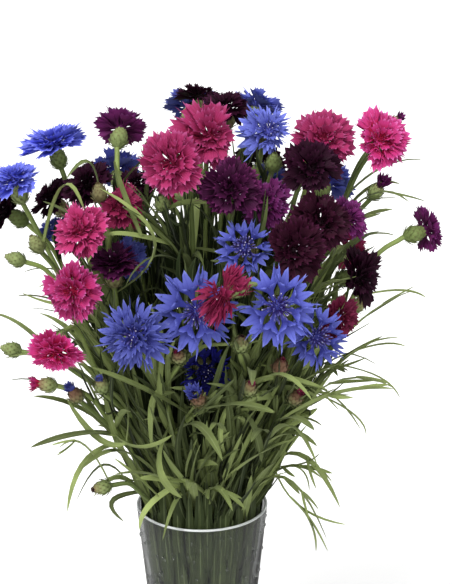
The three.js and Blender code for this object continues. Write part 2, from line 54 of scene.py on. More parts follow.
# The glass
# A plain conical tumbler of clear glass, pressed in one piece with a thick floor, straight sides and a
# rounded, polished rim. It stands on its own flat foot.
GLASS_HEIGHT = 150
GLASS_BASE_RADIUS = 30
GLASS_RIM_RADIUS = 45
GLASS_WALL = 1.8
GLASS_FLOOR = 6
GLASS_SIDES = 96
WALL_LEAN = 6
FOOT_ROUNDING = 1.2
FLOOR_ROUNDING = 4
SHARP_ANGLE = 50
RIM_START = 149
RIM_ROUGHNESS = 0.4


def glass_radius(z):
    return GLASS_BASE_RADIUS + (GLASS_RIM_RADIUS - GLASS_BASE_RADIUS) * (z / GLASS_HEIGHT)


def arc(x, z, radius, start, end, count):
    """Points on an arc in the plane of a profile, angles in degrees."""
    angles = np.radians(np.linspace(start, end, count))
    return [(x + radius * math.cos(a), z + radius * math.sin(a)) for a in angles]


def turned(profile, sides):
    """A profile of radius and height turned about the upright axis."""
    points = []
    rings = []
    for radius, height in profile:
        count = sides if radius > 0 else 1
        rings.append(range(len(points), len(points) + count))
        for k in range(count):
            angle = 2 * math.pi * k / sides
            points.append((radius * math.cos(angle), radius * math.sin(angle), height))
    faces = []
    for low, high in zip(rings, rings[1:]):
        for k in range(sides):
            after = (k + 1) % sides
            quad = [low[k % len(low)], low[after % len(low)], high[after % len(high)], high[k % len(high)]]
            faces.append(list(dict.fromkeys(quad)))
    return points, faces


def mesh_object(name, points, faces, material):
    """An object at the origin with a smooth mesh, from points in millimetres."""
    mesh = bpy.data.meshes.new(name)
    mesh.from_pydata((np.array(points) * MM).tolist(), [], faces)
    mesh.shade_smooth()
    mesh.set_sharp_from_angle(angle=math.radians(SHARP_ANGLE))
    if material:
        mesh.materials.append(material)
    piece = bpy.data.objects.new(name, mesh)
    bpy.context.scene.collection.objects.link(piece)
    return piece


def fit(piece, slot, *nodes):
    """Seats a finished piece on the one body and hides the solids that it stands for; the slot is not used.
    """
    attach(piece, "root")
    if nodes:
        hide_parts(*nodes)


def new_material(name, **values):
    """A material, its tree and its shader, with plain values on the shader's own sockets."""
    material = bpy.data.materials.new(name)
    material.use_nodes = True
    shader = material.node_tree.nodes["Principled BSDF"]
    for socket, value in values.items():
        shader.inputs[socket.replace("_", " ")].default_value = value
    return material, material.node_tree, shader


def add_node(tree, kind, inputs=None, **settings):
    """A node with its settings, and with plain values or links on its inputs."""
    node = tree.nodes.new(kind)
    for name, value in settings.items():
        setattr(node, name, value)
    for name, value in (inputs or {}).items():
        if isinstance(value, bpy.types.NodeSocket):
            tree.links.new(value, node.inputs[name])
        else:
            node.inputs[name].default_value = value
    return node


def math_node(tree, operation, a, b=0.0):
    return add_node(tree, "ShaderNodeMath", {0: a, 1: b}, operation=operation).outputs["Value"]


def remap(tree, value, source, target, **settings):
    """A value taken from one range to another."""
    ranges = {"From Min": source[0], "From Max": source[1], "To Min": target[0], "To Max": target[1]}
    return add_node(tree, "ShaderNodeMapRange", {"Value": value, **ranges}, **settings).outputs["Result"]


def object_place(tree):
    return add_node(tree, "ShaderNodeTexCoord").outputs["Object"]


def noise(tree, place, scale, detail=2.0):
    inputs = {"Vector": place, "Scale": scale, "Detail": detail}
    return add_node(tree, "ShaderNodeTexNoise", inputs).outputs["Fac"]


def relief(tree, height, strength, depth):
    """The way a surface faces that rises and falls with a height, by a depth in metres."""
    inputs = {"Height": height, "Strength": strength, "Distance": depth}
    return add_node(tree, "ShaderNodeBump", inputs).outputs["Normal"]


def feed(tree, node, **values):
    """Links values to the sockets of a node."""
    for socket, value in values.items():
        tree.links.new(value, node.inputs[socket.replace("_", " ")])


def let_daylight_through(tree, shader):
    """Clear pieces cast only a faint shadow, as the light that they bend still reaches what is behind."""
    path = add_node(tree, "ShaderNodeLightPath")
    feed(tree, shader, Alpha=remap(tree, path.outputs["Is Shadow Ray"], (0.0, 1.0), (1.0, 0.15)))


def glass_finish():
    """Clear glass with faint smears where it was handled, and duller at its rim."""
    material, tree, shader = new_material(
        "clear_glass", Base_Color=(0.97, 0.985, 0.98, 1), Transmission_Weight=1.0, IOR=1.5
    )
    place = object_place(tree)
    smears = remap(tree, noise(tree, place, scale=45.0, detail=4.0), (0.52, 0.7), (0.015, 0.12))
    height = add_node(tree, "ShaderNodeSeparateXYZ", {"Vector": place}).outputs["Z"]
    rim = remap(tree, height, (RIM_START * MM, GLASS_HEIGHT * MM), (0.0, RIM_ROUGHNESS))
    waves = noise(tree, place, scale=30.0, detail=1.0)
    feed(tree, shader, Roughness=math_node(tree, "MAXIMUM", smears, rim),
         Normal=relief(tree, waves, strength=0.08, depth=0.001))
    let_daylight_through(tree, shader)
    return material


floor_edge = glass_radius(GLASS_FLOOR) - GLASS_WALL
glass_profile = [
    (0, 0),
    (GLASS_BASE_RADIUS - 2 * FOOT_ROUNDING, 0),
    *arc(GLASS_BASE_RADIUS - FOOT_ROUNDING, FOOT_ROUNDING, FOOT_ROUNDING, -90, -WALL_LEAN, 5),
    (glass_radius(2 * FOOT_ROUNDING), 2 * FOOT_ROUNDING),
    (glass_radius(GLASS_HEIGHT - GLASS_WALL), GLASS_HEIGHT - GLASS_WALL),
    *arc(GLASS_RIM_RADIUS - GLASS_WALL / 2, GLASS_HEIGHT, GLASS_WALL / 2, -WALL_LEAN, 180 + WALL_LEAN, 11),
    (glass_radius(GLASS_HEIGHT - GLASS_WALL) - GLASS_WALL, GLASS_HEIGHT - GLASS_WALL),
    (floor_edge + 0.5, GLASS_FLOOR + FLOOR_ROUNDING + 1),
    *arc(floor_edge - FLOOR_ROUNDING, GLASS_FLOOR + FLOOR_ROUNDING, FLOOR_ROUNDING, -WALL_LEAN, -90, 6),
    (floor_edge - FLOOR_ROUNDING - 1, GLASS_FLOOR),
    (0, GLASS_FLOOR),
]
glass = mesh_object("glass_vase_clear", *turned(glass_profile, GLASS_SIDES), glass_finish())
fit(glass, "clear_glass", "glass_vase")

# The lip of the glass
# The top of the rim is the same glass, fire-polished to a half round. A whitish, half-clear skin lies close
# over the rim as a painted highlight, so it shows as a thin white line.
LIP_PROUD = 0.12
# The whitish, half-clear colour of this skin is a painted highlight on the rim.
lip_finish, _, _ = new_material(
    "painted_highlight_lip", Base_Color=(0.85, 0.88, 0.88, 1), Roughness=0.3, Transmission_Weight=0.35, IOR=1.5
)
lip_centre = GLASS_RIM_RADIUS - GLASS_WALL / 2
lip_profile = [
    *arc(lip_centre, GLASS_HEIGHT, GLASS_WALL / 2 + LIP_PROUD, 0, 180, 9),
    *arc(lip_centre, GLASS_HEIGHT, GLASS_WALL / 2 + LIP_PROUD / 2, 180, 0, 9),
]
lip = mesh_object("glass_lip", *turned([*lip_profile, lip_profile[0]], GLASS_SIDES), lip_finish)
fit(lip, "clear_glass")

# The water
# Tap water that fills the glass a little over half way. It clings to the wall in a small raised edge
# at its level, and closes round every stem.
WATER_LEVEL = 92
WATER_EDGE = 1.6
WATER_OVERLAP = 0.15


def water_finish():
    """Clear water with a faintly moving surface."""
    material, tree, shader = new_material(
        "water", Base_Color=(0.97, 0.99, 0.98, 1), Transmission_Weight=1.0, IOR=1.333, Roughness=0.0
    )
    ripple = noise(tree, object_place(tree), scale=60.0)
    feed(tree, shader, Normal=relief(tree, ripple, strength=0.1, depth=0.001))
    let_daylight_through(tree, shader)
    return material


def water_edge(z):
    """The radius of the water at a height; it reaches just into the wall of the glass."""
    return glass_radius(z) - GLASS_WALL + WATER_OVERLAP


wall_foot = GLASS_FLOOR + FLOOR_ROUNDING + 2
rounding_centre = (floor_edge - FLOOR_ROUNDING, GLASS_FLOOR + FLOOR_ROUNDING - WATER_OVERLAP)
edge_centre = water_edge(WATER_LEVEL) - WATER_EDGE
water_profile = [
    (0, GLASS_FLOOR - WATER_OVERLAP),
    *arc(*rounding_centre, FLOOR_ROUNDING + WATER_OVERLAP, -90, -WALL_LEAN, 6),
    (water_edge(wall_foot), wall_foot),
    (water_edge(WATER_LEVEL), WATER_LEVEL),
    *reversed(arc(edge_centre, WATER_LEVEL + WATER_EDGE, WATER_EDGE, -90, 0, 5)),
    (edge_centre - 1, WATER_LEVEL),
    (0, WATER_LEVEL),
]
water = mesh_object("water_body", *turned(water_profile, GLASS_SIDES), water_finish())
fit(water, "water", "vase_water")

# The drops on the glass
# Splashed water that clings to the outside of the glass below its rim, each drop drawn out downwards by
# its own weight. Nothing holds the drops but the wet wall.
DROPS_FROM = 100
DROPS_TO = 146
DROP_SMALLEST = 0.35
DROP_LARGEST = 1.1
DROP_STRETCH = 1.7
DROPS_PER_SQUARE_METRE = 11000
DROPS_SEED = 4


def new_tree(name, **sockets):
    """A tree of geometry nodes with an input for each of its values, and the outputs that give them."""
    tree = bpy.data.node_groups.new(name, "GeometryNodeTree")
    for socket, kind in {"Geometry": "Geometry", **sockets, "Seed": "Int", "Material": "Material"}.items():
        tree.interface.new_socket(socket.replace("_", " "), in_out="INPUT", socket_type=f"NodeSocket{kind}")
    tree.interface.new_socket("Geometry", in_out="OUTPUT", socket_type="NodeSocketGeometry")
    return tree, add_node(tree, "NodeGroupInput").outputs


def finish_tree(tree, given, instances):
    """Ends a tree: what it set becomes one real mesh with its material."""
    solid = add_node(tree, "GeometryNodeRealizeInstances", {"Geometry": instances}).outputs["Geometry"]
    finished = add_node(tree, "GeometryNodeSetMaterial", {"Geometry": solid, "Material": given["Material"]})
    feed(tree, add_node(tree, "NodeGroupOutput"), Geometry=finished.outputs["Geometry"])
    return tree


def draw_number(tree, seed):
    """A node that draws a number for each point, and that number."""
    node = add_node(tree, "FunctionNodeRandomValue", {"Seed": seed}, data_type="FLOAT")
    return node, node.outputs[1]


def turn_to(tree, direction, axis, second_direction, second_axis):
    """Turns a piece so that one of its axes lies along a direction, and another near a second one."""
    inputs = {"Primary Axis": direction, "Secondary Axis": second_direction}
    settings = {"primary_axis": axis, "secondary_axis": second_axis}
    return add_node(tree, "FunctionNodeAxesToRotation", inputs, **settings).outputs["Rotation"]


def set_on_points(tree, points, piece, turn, scale, **selection):
    """A piece set on each point, turned and scaled."""
    inputs = {"Points": points, "Instance": piece, "Rotation": turn, "Scale": scale, **selection}
    return add_node(tree, "GeometryNodeInstanceOnPoints", inputs).outputs["Instances"]


def drops_tree():
    """Scatters drops over a band of wall, each half sunk in it and taller than it is wide."""
    tree, given = new_tree(
        "drops on a wall", Density="Float", Smallest="Float", Largest="Float", Stretch="Float"
    )
    places = add_node(tree, "GeometryNodeDistributePointsOnFaces", {
        "Mesh": given["Geometry"], "Density": given["Density"], "Seed": given["Seed"]})
    turn = turn_to(tree, places.outputs["Normal"], "Y", (0, 0, 1), "Z")
    draw, size = draw_number(tree, given["Seed"])
    tree.links.new(given["Smallest"], draw.inputs[2])
    tree.links.new(given["Largest"], draw.inputs[3])
    tall = math_node(tree, "MULTIPLY", size, given["Stretch"])
    scale = add_node(tree, "ShaderNodeCombineXYZ", {"X": size, "Y": size, "Z": tall})
    drop = add_node(tree, "GeometryNodeMeshIcoSphere", {"Radius": 1.0, "Subdivisions": 2}).outputs["Mesh"]
    smooth = add_node(tree, "GeometryNodeSetShadeSmooth", {"Geometry": drop}).outputs["Geometry"]
    drops = set_on_points(tree, places.outputs["Points"], smooth, turn, scale.outputs["Vector"])
    return finish_tree(tree, given, drops)


def run_tree(tree, bases, placing=(), **inputs):
    """Runs a tree on base meshes, and leaves plain meshes without the attributes that only placed things."""
    sockets = {item.name: item.identifier for item in tree.interface.items_tree if item.in_out == "INPUT"}
    for seed, base in enumerate(bases):
        modifier = base.modifiers.new("set", "NODES")
        modifier.node_group = tree
        for name, value in {"Seed": seed, **inputs}.items():
            modifier[sockets[name.replace("_", " ")]] = value
    seen = bpy.context.evaluated_depsgraph_get()
    seen.update()
    for base in bases:
        made = base.evaluated_get(seen)
        mesh = bpy.data.meshes.new_from_object(made, preserve_all_data_layers=True, depsgraph=seen)
        base.modifiers.clear()
        for key in placing:
            mesh.attributes.remove(mesh.attributes[key])
        base.data = mesh


drops_wall = turned([(glass_radius(z), z) for z in (DROPS_FROM, DROPS_TO)], GLASS_SIDES)
drops = mesh_object("glass_drops", *drops_wall, None)
run_tree(drops_tree(), [drops], Density=DROPS_PER_SQUARE_METRE, Stretch=DROP_STRETCH, Seed=DROPS_SEED,
         Smallest=DROP_SMALLEST * MM, Largest=DROP_LARGEST * MM, Material=water.data.materials[0])
fit(drops, "water")

# The stems
# Eleven cut stems cross in the glass and fan out above its rim. Each is one grown piece that forks into
# a branch for every head and a side shoot for every bud, and the branches bend round each other.
STEM_RADIUS = 1.7
FORK_RADIUS = 1.1
CLEARANCE = 0.3
SPREAD_AT_FLOOR = 19
SPREAD_AT_RIM = 35
SPREAD_PER_MM_ABOVE_RIM = 0.55
MAIN_STEM_HEIGHTS = (60, 110, 150, 175, 200)
FIRST_FORK = 104
LAST_FORK = 196
BRANCH_POINTS = 6
# How a branch bends: how far it climbs and drifts over as it leaves its fork, and how long it runs straight
# into its cup, as shares of the distance and at most
BRANCH_CLIMB = 0.4
BRANCH_DRIFT = 0.2
STRAIGHT_SHARE = 0.3
STRAIGHT_MOST = 30
BUD_POINTS = 4
BUD_STALK = 35
BUD_BELOW_FORK = 10
STEM_GAP = 6.5
SIBLING_GAP = 5
WALL_GAP = 3
RIM_ZONE = 14
RELAX_ROUNDS = 40
RELAX_STRAIGHTEN = 0.25
RELAX_MARGIN = 6
SETTLE_ROUNDS = 60
HEAD_SPACING = 0.84
SIDEWAYS_SHARE = 0.3
# The ball that a head takes: how far its middle lies before the centre, its radius, and the gap round it
HEART_AHEAD = 0.2
HEART_SIZE = 0.85
HEART_GAP = 2
CUP = {"length": 13, "belly": 5, "neck": 3.6}
BUD = {"length": 12, "belly": 4.3, "neck": 1.5}
UP = np.array([0.0, 0.0, 1.0])

# Each head: colour, form, stem, x, y, z of its centre, radius, and the way it faces.
# Azimuth 0 faces the front and 90 the right; elevation 90 faces straight up.
HEADS = [
    ("blue", "double", 1, -95, 10, 394, 23, -90, 75),
    ("blue", "double", 1, -117, -5, 376, 20, -60, 72),
    ("maroon", "double", 1, -126, 20, 350, 17, -80, 35),
    ("maroon", "double", 1, -98, 28, 356, 17, -60, 45),
    ("blue", "double", 1, -100, 48, 328, 15, -110, 35),
    ("blue", "double", 1, -60, 75, 365, 20, -150, 45),
    ("magenta", "double", 1, -70, 90, 315, 19, -145, 20),
    ("maroon", "double", 2, -71, -5, 374, 18, -40, 50),
    ("purple", "double", 2, -52, 15, 406, 18, 170, 40),
    ("maroon", "double", 2, -42, 0, 372, 14, 0, 55),
    ("blue", "double", 2, -47, -12, 327, 15, 0, 30),
    ("magenta", "double", 3, -71, -50, 355, 19, -25, 30),
    ("crimson", "double", 3, -51, -30, 366, 17, 20, 40),
    ("dusk", "double", 3, -54, -45, 331, 18, 10, 75),
    ("pink", "double", 3, -76, -70, 325, 19, -20, 8),
    ("pink", "double", 3, -89, -60, 284, 19, -15, -35),
    ("blue", "double", 4, -37, -100, 306, 22, -12, 12),
    ("blue", "single", 4, 0, -88, 317, 27, 0, 10),
    ("navy", "single", 4, 3, -62, 270, 17, 5, 5),
    ("crimson", "narrow", 5, 18, -102, 333, 15, -60, -15),
    ("blue", "single", 5, 47, -92, 323, 25, 5, 12),
    ("blue", "single", 5, 31, -60, 347, 19, -10, 30),
    ("blue", "single", 6, 70, -80, 299, 20, 20, 12),
    ("wine", "double", 6, 55, -68, 349, 20, 0, 15),
    ("crimson", "double", 6, 86, -50, 304, 15, 40, 0),
    ("maroon", "double", 7, 96, -40, 320, 21, 55, 12),
    ("wine", "double", 7, 74, -45, 359, 21, 15, 30),
    ("purple", "double", 7, 91, -20, 355, 16, 50, 30),
    ("purple", "double", 7, 144, 0, 343, 16, 110, 10),
    ("maroon", "double", 8, 69, -35, 392, 20, 10, 20),
    ("magenta", "double", 8, 78, 0, 402, 21, 10, 40),
    ("pink", "double", 8, 114, 5, 401, 21, 15, 35),
    ("purple", "double", 8, 41, -20, 367, 18, 0, 30),
    ("light_blue", "double", 8, 43, -5, 409, 20, 10, 30),
    ("magenta", "double", 9, -14, -40, 399, 21, -20, 15),
    ("magenta", "double", 9, 5, -15, 408, 24, 5, 35),
    ("dusk", "double", 9, 20, -45, 381, 21, 0, 20),
    ("maroon", "double", 9, 18, 20, 418, 17, 0, 65),
    ("maroon", "double", 10, -1, 35, 421, 17, 180, 70),
    ("blue", "double", 10, -8, 60, 412, 19, 180, 45),
    ("light_blue", "double", 10, 32, 28, 417, 19, 150, 60),
    ("blue", "double", 10, 45, 30, 367, 16, 170, 40),
    ("pink", "double", 11, -15, 95, 350, 20, -170, 25),
    ("maroon", "double", 11, 40, 75, 370, 19, 165, 35),
    ("blue", "double", 11, 85, 60, 360, 20, 140, 35),
    ("purple", "double", 11, 30, 105, 320, 18, 170, 10),
    ("crimson", "double", 11, 100, 75, 310, 18, 130, 15),
]

# Each bud: stem, x, y, z of its tip, the way it points, and the colour and share of the petals that show
BUDS = [
    (8, 129, 20, 414, 60, 45, "purple", 0.5),
    (8, 116, 0, 374, 50, 55, "purple", 0.95),
    (3, -103, -50, 256, -80, 10, "pink", 0.8),
    (3, -82, -50, 252, -45, 55, "blue", 0.6),
    (3, -63, -60, 262, -20, 60, "blue", 0.35),
    (4, -13, -85, 289, -10, 40, "crimson", 0.2),
    (4, -2, -85, 262, -20, 45, "blue", 0.9),
    (5, 26, -95, 302, 10, 60, "maroon", 0.15),
    (5, 32, -85, 269, 15, 50, "pink", 0.25),
    (6, 62, -75, 259, 35, 45, "crimson", 0.3),
    (6, 51, -80, 282, 25, 60, "crimson", 0.2),
    (4, 3, -34, 162, 0, 60, "crimson", 0.35),
    (3, -69, -50, 183, -60, 0, "maroon", 0.2),
    (3, -63, -35, 382, -20, 70, "green", 0),
    (1, -125, -10, 329, -80, 20, "green", 0),
    (1, -106, -30, 347, -60, 60, "green", 0),
    (3, -129, -20, 270, -85, 15, "green", 0),
    (2, -33, 10, 400, 0, 80, "maroon", 0.3),
    (8, 47, -20, 398, 20, 70, "green", 0),
    (9, -24, -45, 377, -20, 60, "green", 0),
    (11, 60, 95, 275, 150, 40, "blue", 0.4),
    (11, -35, 100, 262, -165, 45, "pink", 0.3),
    (1, -95, 70, 270, -130, 30, "magenta", 0.5),
    (7, 110, 20, 290, 90, 35, "purple", 0.3),
]


class Draws:
    """Seeded random numbers from 0 to 1."""

    def __init__(self, seed):
        self.seed = seed

    def one(self):
        self.seed = (self.seed * 1664525 + 1013904223) % 4294967296
        return self.seed / 4294967296

    def between(self, low, high):
        return low + (high - low) * self.one()

    def choice(self, count):
        return math.floor(self.one() * count)


def facing(azimuth, elevation):
    """The direction of two angles in degrees."""
    a, e = math.radians(azimuth), math.radians(elevation)
    return np.array([math.sin(a) * math.cos(e), -math.cos(a) * math.cos(e), math.sin(e)])


def length_of(vector):
    return math.sqrt(vector @ vector)


def unit(vector):
    return vector / length_of(vector)


def spread(z):
    """How wide the cone of stems is at a height."""
    if z < GLASS_HEIGHT:
        return SPREAD_AT_FLOOR + (SPREAD_AT_RIM - SPREAD_AT_FLOOR) * (z / GLASS_HEIGHT)
    return SPREAD_AT_RIM + SPREAD_PER_MM_ABOVE_RIM * (z - GLASS_HEIGHT)


def settle_heads():
    """Crowded heads move apart, mostly in depth."""
    heads = [
        {
            "colour": colour,
            "form": form,
            "stem": stem,
            "radius": radius,
            "centre": np.array([x, y, z], float),
            "axis": facing(azimuth, elevation),
        }
        for colour, form, stem, x, y, z, radius, azimuth, elevation in HEADS
    ]
    share = np.array([SIDEWAYS_SHARE, 1, SIDEWAYS_SHARE])
    for _ in range(SETTLE_ROUNDS):
        for i, a in enumerate(heads):
            for b in heads[i + 1:]:
                reach = (a["radius"] + b["radius"]) * HEAD_SPACING
                gap = b["centre"] - a["centre"]
                distance = length_of(gap)
                if distance < reach:
                    move = gap * ((reach - distance) / distance / 2) * share
                    a["centre"] = a["centre"] - move
                    b["centre"] = b["centre"] + move
    return heads


def heart(head):
    """The middle of the ball that a head takes."""
    return head["centre"] + head["axis"] * head["radius"] * HEART_AHEAD


def branch_points(fork, foot, axis, count):
    """A branch from its fork to the foot of its cup or bud, on a cubic curve."""
    length = length_of(foot - fork)
    rise = fork + UP * length * BRANCH_CLIMB
    rise[:2] += (foot - fork)[:2] * BRANCH_DRIFT
    approach = foot - axis * min(STRAIGHT_MOST, length * STRAIGHT_SHARE)
    t = np.linspace(0, 1, count)[:, None]
    return (1 - t) ** 3 * fork + 3 * (1 - t) ** 2 * t * rise + 3 * (1 - t) * t**2 * approach + t**3 * foot


def grow_branches(heads):
    """Main stems with a branch to each head. Every strand is a row of points on one leafy stem."""
    grown = []
    for stem in range(1, max(head["stem"] for head in heads) + 1):
        own = sorted((h for h in heads if h["stem"] == stem), key=lambda h: h["centre"][2])
        lean = sum(h["centre"][:2] / spread(h["centre"][2]) for h in own) / len(own)
        heights = [GLASS_FLOOR + CLEARANCE, *MAIN_STEM_HEIGHTS]
        points = np.array([[*(lean * spread(z)), z] for z in heights])
        grown.append({"stem": stem, "kind": "main", "points": points})
        for i, head in enumerate(own):
            z = FIRST_FORK + (LAST_FORK - FIRST_FORK) * (i + 0.5) / len(own)
            fork = np.array([*(lean * spread(z)), z])
            foot = head["centre"] - head["axis"] * CUP["length"]
            points = branch_points(fork, foot, head["axis"], BRANCH_POINTS)
            grown.append({"stem": stem, "kind": "head", "head": head, "form": CUP, "axis": head["axis"],
                          "tip": head["centre"], "points": points})
    return grown


def grow_buds(strands):
    """Side shoots with a bud, each from the nearest suitable point of its own stem."""
    grown = []
    for stem, x, y, z, azimuth, elevation, colour, opening in BUDS:
        tip = np.array([x, y, z], float)
        axis = facing(azimuth, elevation)
        foot = tip - axis * BUD["length"]
        own = [point for s in strands if s["stem"] == stem for point in s["points"][1:-2]]
        forks = [point for point in own if point[2] < foot[2] - BUD_BELOW_FORK]
        fork = min(forks, key=lambda point: length_of(point - foot + UP * BUD_STALK))
        grown.append({"stem": stem, "kind": "bud", "form": BUD, "axis": axis, "tip": tip, "colour": colour,
                      "opening": opening, "points": branch_points(fork, foot, axis, BUD_POINTS)})
    return grown


def keep_inside_glass(point, room):
    if point[2] <= GLASS_HEIGHT + RIM_ZONE:
        limit = glass_radius(min(point[2], GLASS_HEIGHT)) - GLASS_WALL - room
        radius = math.hypot(point[0], point[1])
        if radius > limit:
            point[:2] *= limit / radius


def push_out(point, from_point, room):
    away = point - from_point
    distance = length_of(away)
    if 0 < distance < room:
        point += away * ((room - distance) / distance) * 0.5


def relax(kind, strands, heads):
    """Branches bend round the heads and the strands of other stems."""
    routes = [np.vstack([s["points"], s["tip"]]) if "tip" in s else s["points"] for s in strands]
    starts = np.cumsum([0] + [len(route) for route in routes])
    place = np.vstack(routes)
    segments = [(i, m) for i, route in enumerate(routes) for m in range(len(route) - 1)]
    holder = np.array([i for i, _ in segments])
    first = np.array([starts[i] + m for i, m in segments])
    on_cup = np.array([m == len(strands[i]["points"]) - 1 for i, m in segments])
    stem_of = np.array([strands[i]["stem"] for i in holder])
    hearts = np.array([heart(head) for head in heads])
    rooms = np.array([head["radius"] * HEART_SIZE + STEM_RADIUS + HEART_GAP for head in heads])

    def foot_on(point, index):
        start, along = place[index], place[index + 1] - place[index]
        t = np.sum((point - start) * along, axis=-1) / np.sum(along * along, axis=-1)
        return start + along * np.clip(t, 0, 1)[..., None]

    for _ in range(RELAX_ROUNDS):
        for i, strand in enumerate(strands):
            if strand["kind"] != kind:
                continue
            related = stem_of == strand["stem"]
            room = np.where(related, SIBLING_GAP, STEM_GAP) + np.where(on_cup, CUP["belly"], 0)
            for k in range(1, len(strand["points"]) - 2):
                at = starts[i] + k
                point = place[at]
                point += ((place[at - 1] + place[at + 1]) * 0.5 - point) * RELAX_STRAIGHTEN
                near = np.linalg.norm(hearts - point, axis=1) < rooms + RELAX_MARGIN
                for j in np.flatnonzero(near):
                    if heads[j] is not strand.get("head"):
                        push_out(point, hearts[j], rooms[j])
                others = (holder != i) & ~(related & (k == 1))
                near = np.linalg.norm(foot_on(point, first) - point, axis=1) < room + RELAX_MARGIN
                for j in np.flatnonzero(others & near):
                    push_out(point, foot_on(point, first[j]), room[j])
                keep_inside_glass(point, STEM_RADIUS + WALL_GAP)
    for i, strand in enumerate(strands):
        strand["points"] = place[starts[i]:starts[i] + len(strand["points"])]


draws = Draws(2024)
heads = settle_heads()
strands = grow_branches(heads)
relax("head", strands, heads)
strands += grow_buds(strands)
relax("bud", strands, heads)

# Room among the stems
# The petals and leaves of a real bunch press against each other and bend aside, so everything placed
# here is remembered as a row of balls, and what is placed later keeps clear of them.
# The places for main florets round a head, and for its outer and its inner ring how far they lean, how much
# that sways, their reach in radii of the head, their width for their length, and how many places are filled
HEAD_FORMS = {
    "single": {"sides": 8, "outer": (14, 5, 1, 0.33, 8), "inner": (62, 6, 0.5, 0.2, 4)},
    "double": {"sides": 7, "outer": (10, 7, 1, 0.38, 7), "inner": (50, 9, 0.8, 0.27, 4)},
    "narrow": {"sides": 6, "outer": (40, 12, 1.3, 0.24, 6), "inner": (70, 6, 1.1, 0.2, 3)},
}
# Radius and height of the rings that florets grow from
CORE_RINGS = [(3.3, 0), (4.6, 3), (3, 5.6)]
# Shares of its length that a floret tries till it has room, and the balls along it that stand for it
FLORET_TRIES = (1, 0.88, 0.76, 0.64)
FLORET_ROOT = 3
FLORET_MARKS = (0.35, 0.75, 0.9)
FLORET_OUTLINE = (0.4, 0.85, 1)
FLORET_GAP = 0.6
FLORET_STEP = 3
BALL_STEP = 2
BELLY_AT = 0.42
LEAVES_PER_STEM = 8
LEAF_TRIES = 24
LEAF_GAP = 0.8
LEAF_MARKS = (0, 0.3, 0.68, 1)
LEAF_OUTLINE = (0.4, 1, 0.8, 0)
THINNEST_LEAF = 0.5
SIDE_LEAF_LENGTHS = (45, 95)
SIDE_LEAF_WIDTHS = (4, 7)

# Long leaves that give the bunch its outline: stem, root height on it, x, y, z of the tip, arch, width
REACHING_LEAVES = [
    (7, 250, 138, -25, 311, 10, 4.5),
    (7, 215, 130, -20, 277, 16, 5),
    (7, 205, 128, -25, 243, 22, 5),
    (6, 200, 105, -35, 218, 20, 5),
    (7, 175, 93, -30, 160, 26, 4.5),
    (6, 165, 84, -42, 142, 30, 5),
    (3, 220, -128, -30, 266, 12, 5),
    (3, 200, -91, -55, 214, 16, 5.5),
    (3, 180, -82, -45, 172, 20, 5),
    (3, 168, -72, -30, 168, 14, 5),
    (4, 172, -25, -58, 150, 12, 5),
    (11, 180, 40, 90, 170, 24, 5),
    (11, 215, 95, 85, 235, 20, 5),
    (1, 185, -85, 60, 190, 26, 5),
    (1, 215, -115, 55, 240, 18, 5),
]


class Room:
    """Balls that are taken, each with its owner."""

    def __init__(self):
        self.place = np.zeros((0, 3))
        self.radius = np.zeros(0)
        self.owner = np.zeros(0, int)
        self.names = {}

    def number(self, owner):
        return self.names.setdefault(owner, len(self.names))

    def claim(self, row, owner):
        place, radius = row
        self.place = np.vstack([self.place, place])
        self.radius = np.append(self.radius, radius)
        self.owner = np.append(self.owner, np.full(len(radius), self.number(owner)))

    def is_clear(self, row, gap, owners=()):
        place, radius = row
        most = radius.max() + self.radius.max() + gap
        near = np.all((self.place > place.min(0) - most) & (self.place < place.max(0) + most), axis=1)
        near &= ~np.isin(self.owner, [self.number(owner) for owner in owners])
        away = place[:, None] - self.place[near][None]
        room = radius[:, None] + self.radius[near][None] + gap
        return not np.any(np.sum(away**2, axis=2) < room**2)


def balls_along(points, radii, step):
    place, radius = [], []
    for i in range(1, len(points)):
        count = max(1, math.ceil(length_of(points[i] - points[i - 1]) / step))
        t = np.arange(count) / count
        place.append(points[i - 1] + (points[i] - points[i - 1]) * t[:, None])
        radius.append(radii[i - 1] + (radii[i] - radii[i - 1]) * t)
    return np.vstack([*place, points[-1]]), np.append(np.concatenate(radius), radii[-1])


def head_axes(axis):
    """Two directions across a head, and its own."""
    side = UP if abs(axis[2]) < 0.95 else np.array([0.0, -1.0, 0.0])
    across = unit(np.cross(side, axis))
    return across, np.cross(axis, across), axis


def outward_at(across, beside, angle):
    """The way out from an axis at an angle round it."""
    return across * math.cos(angle) + beside * math.sin(angle)


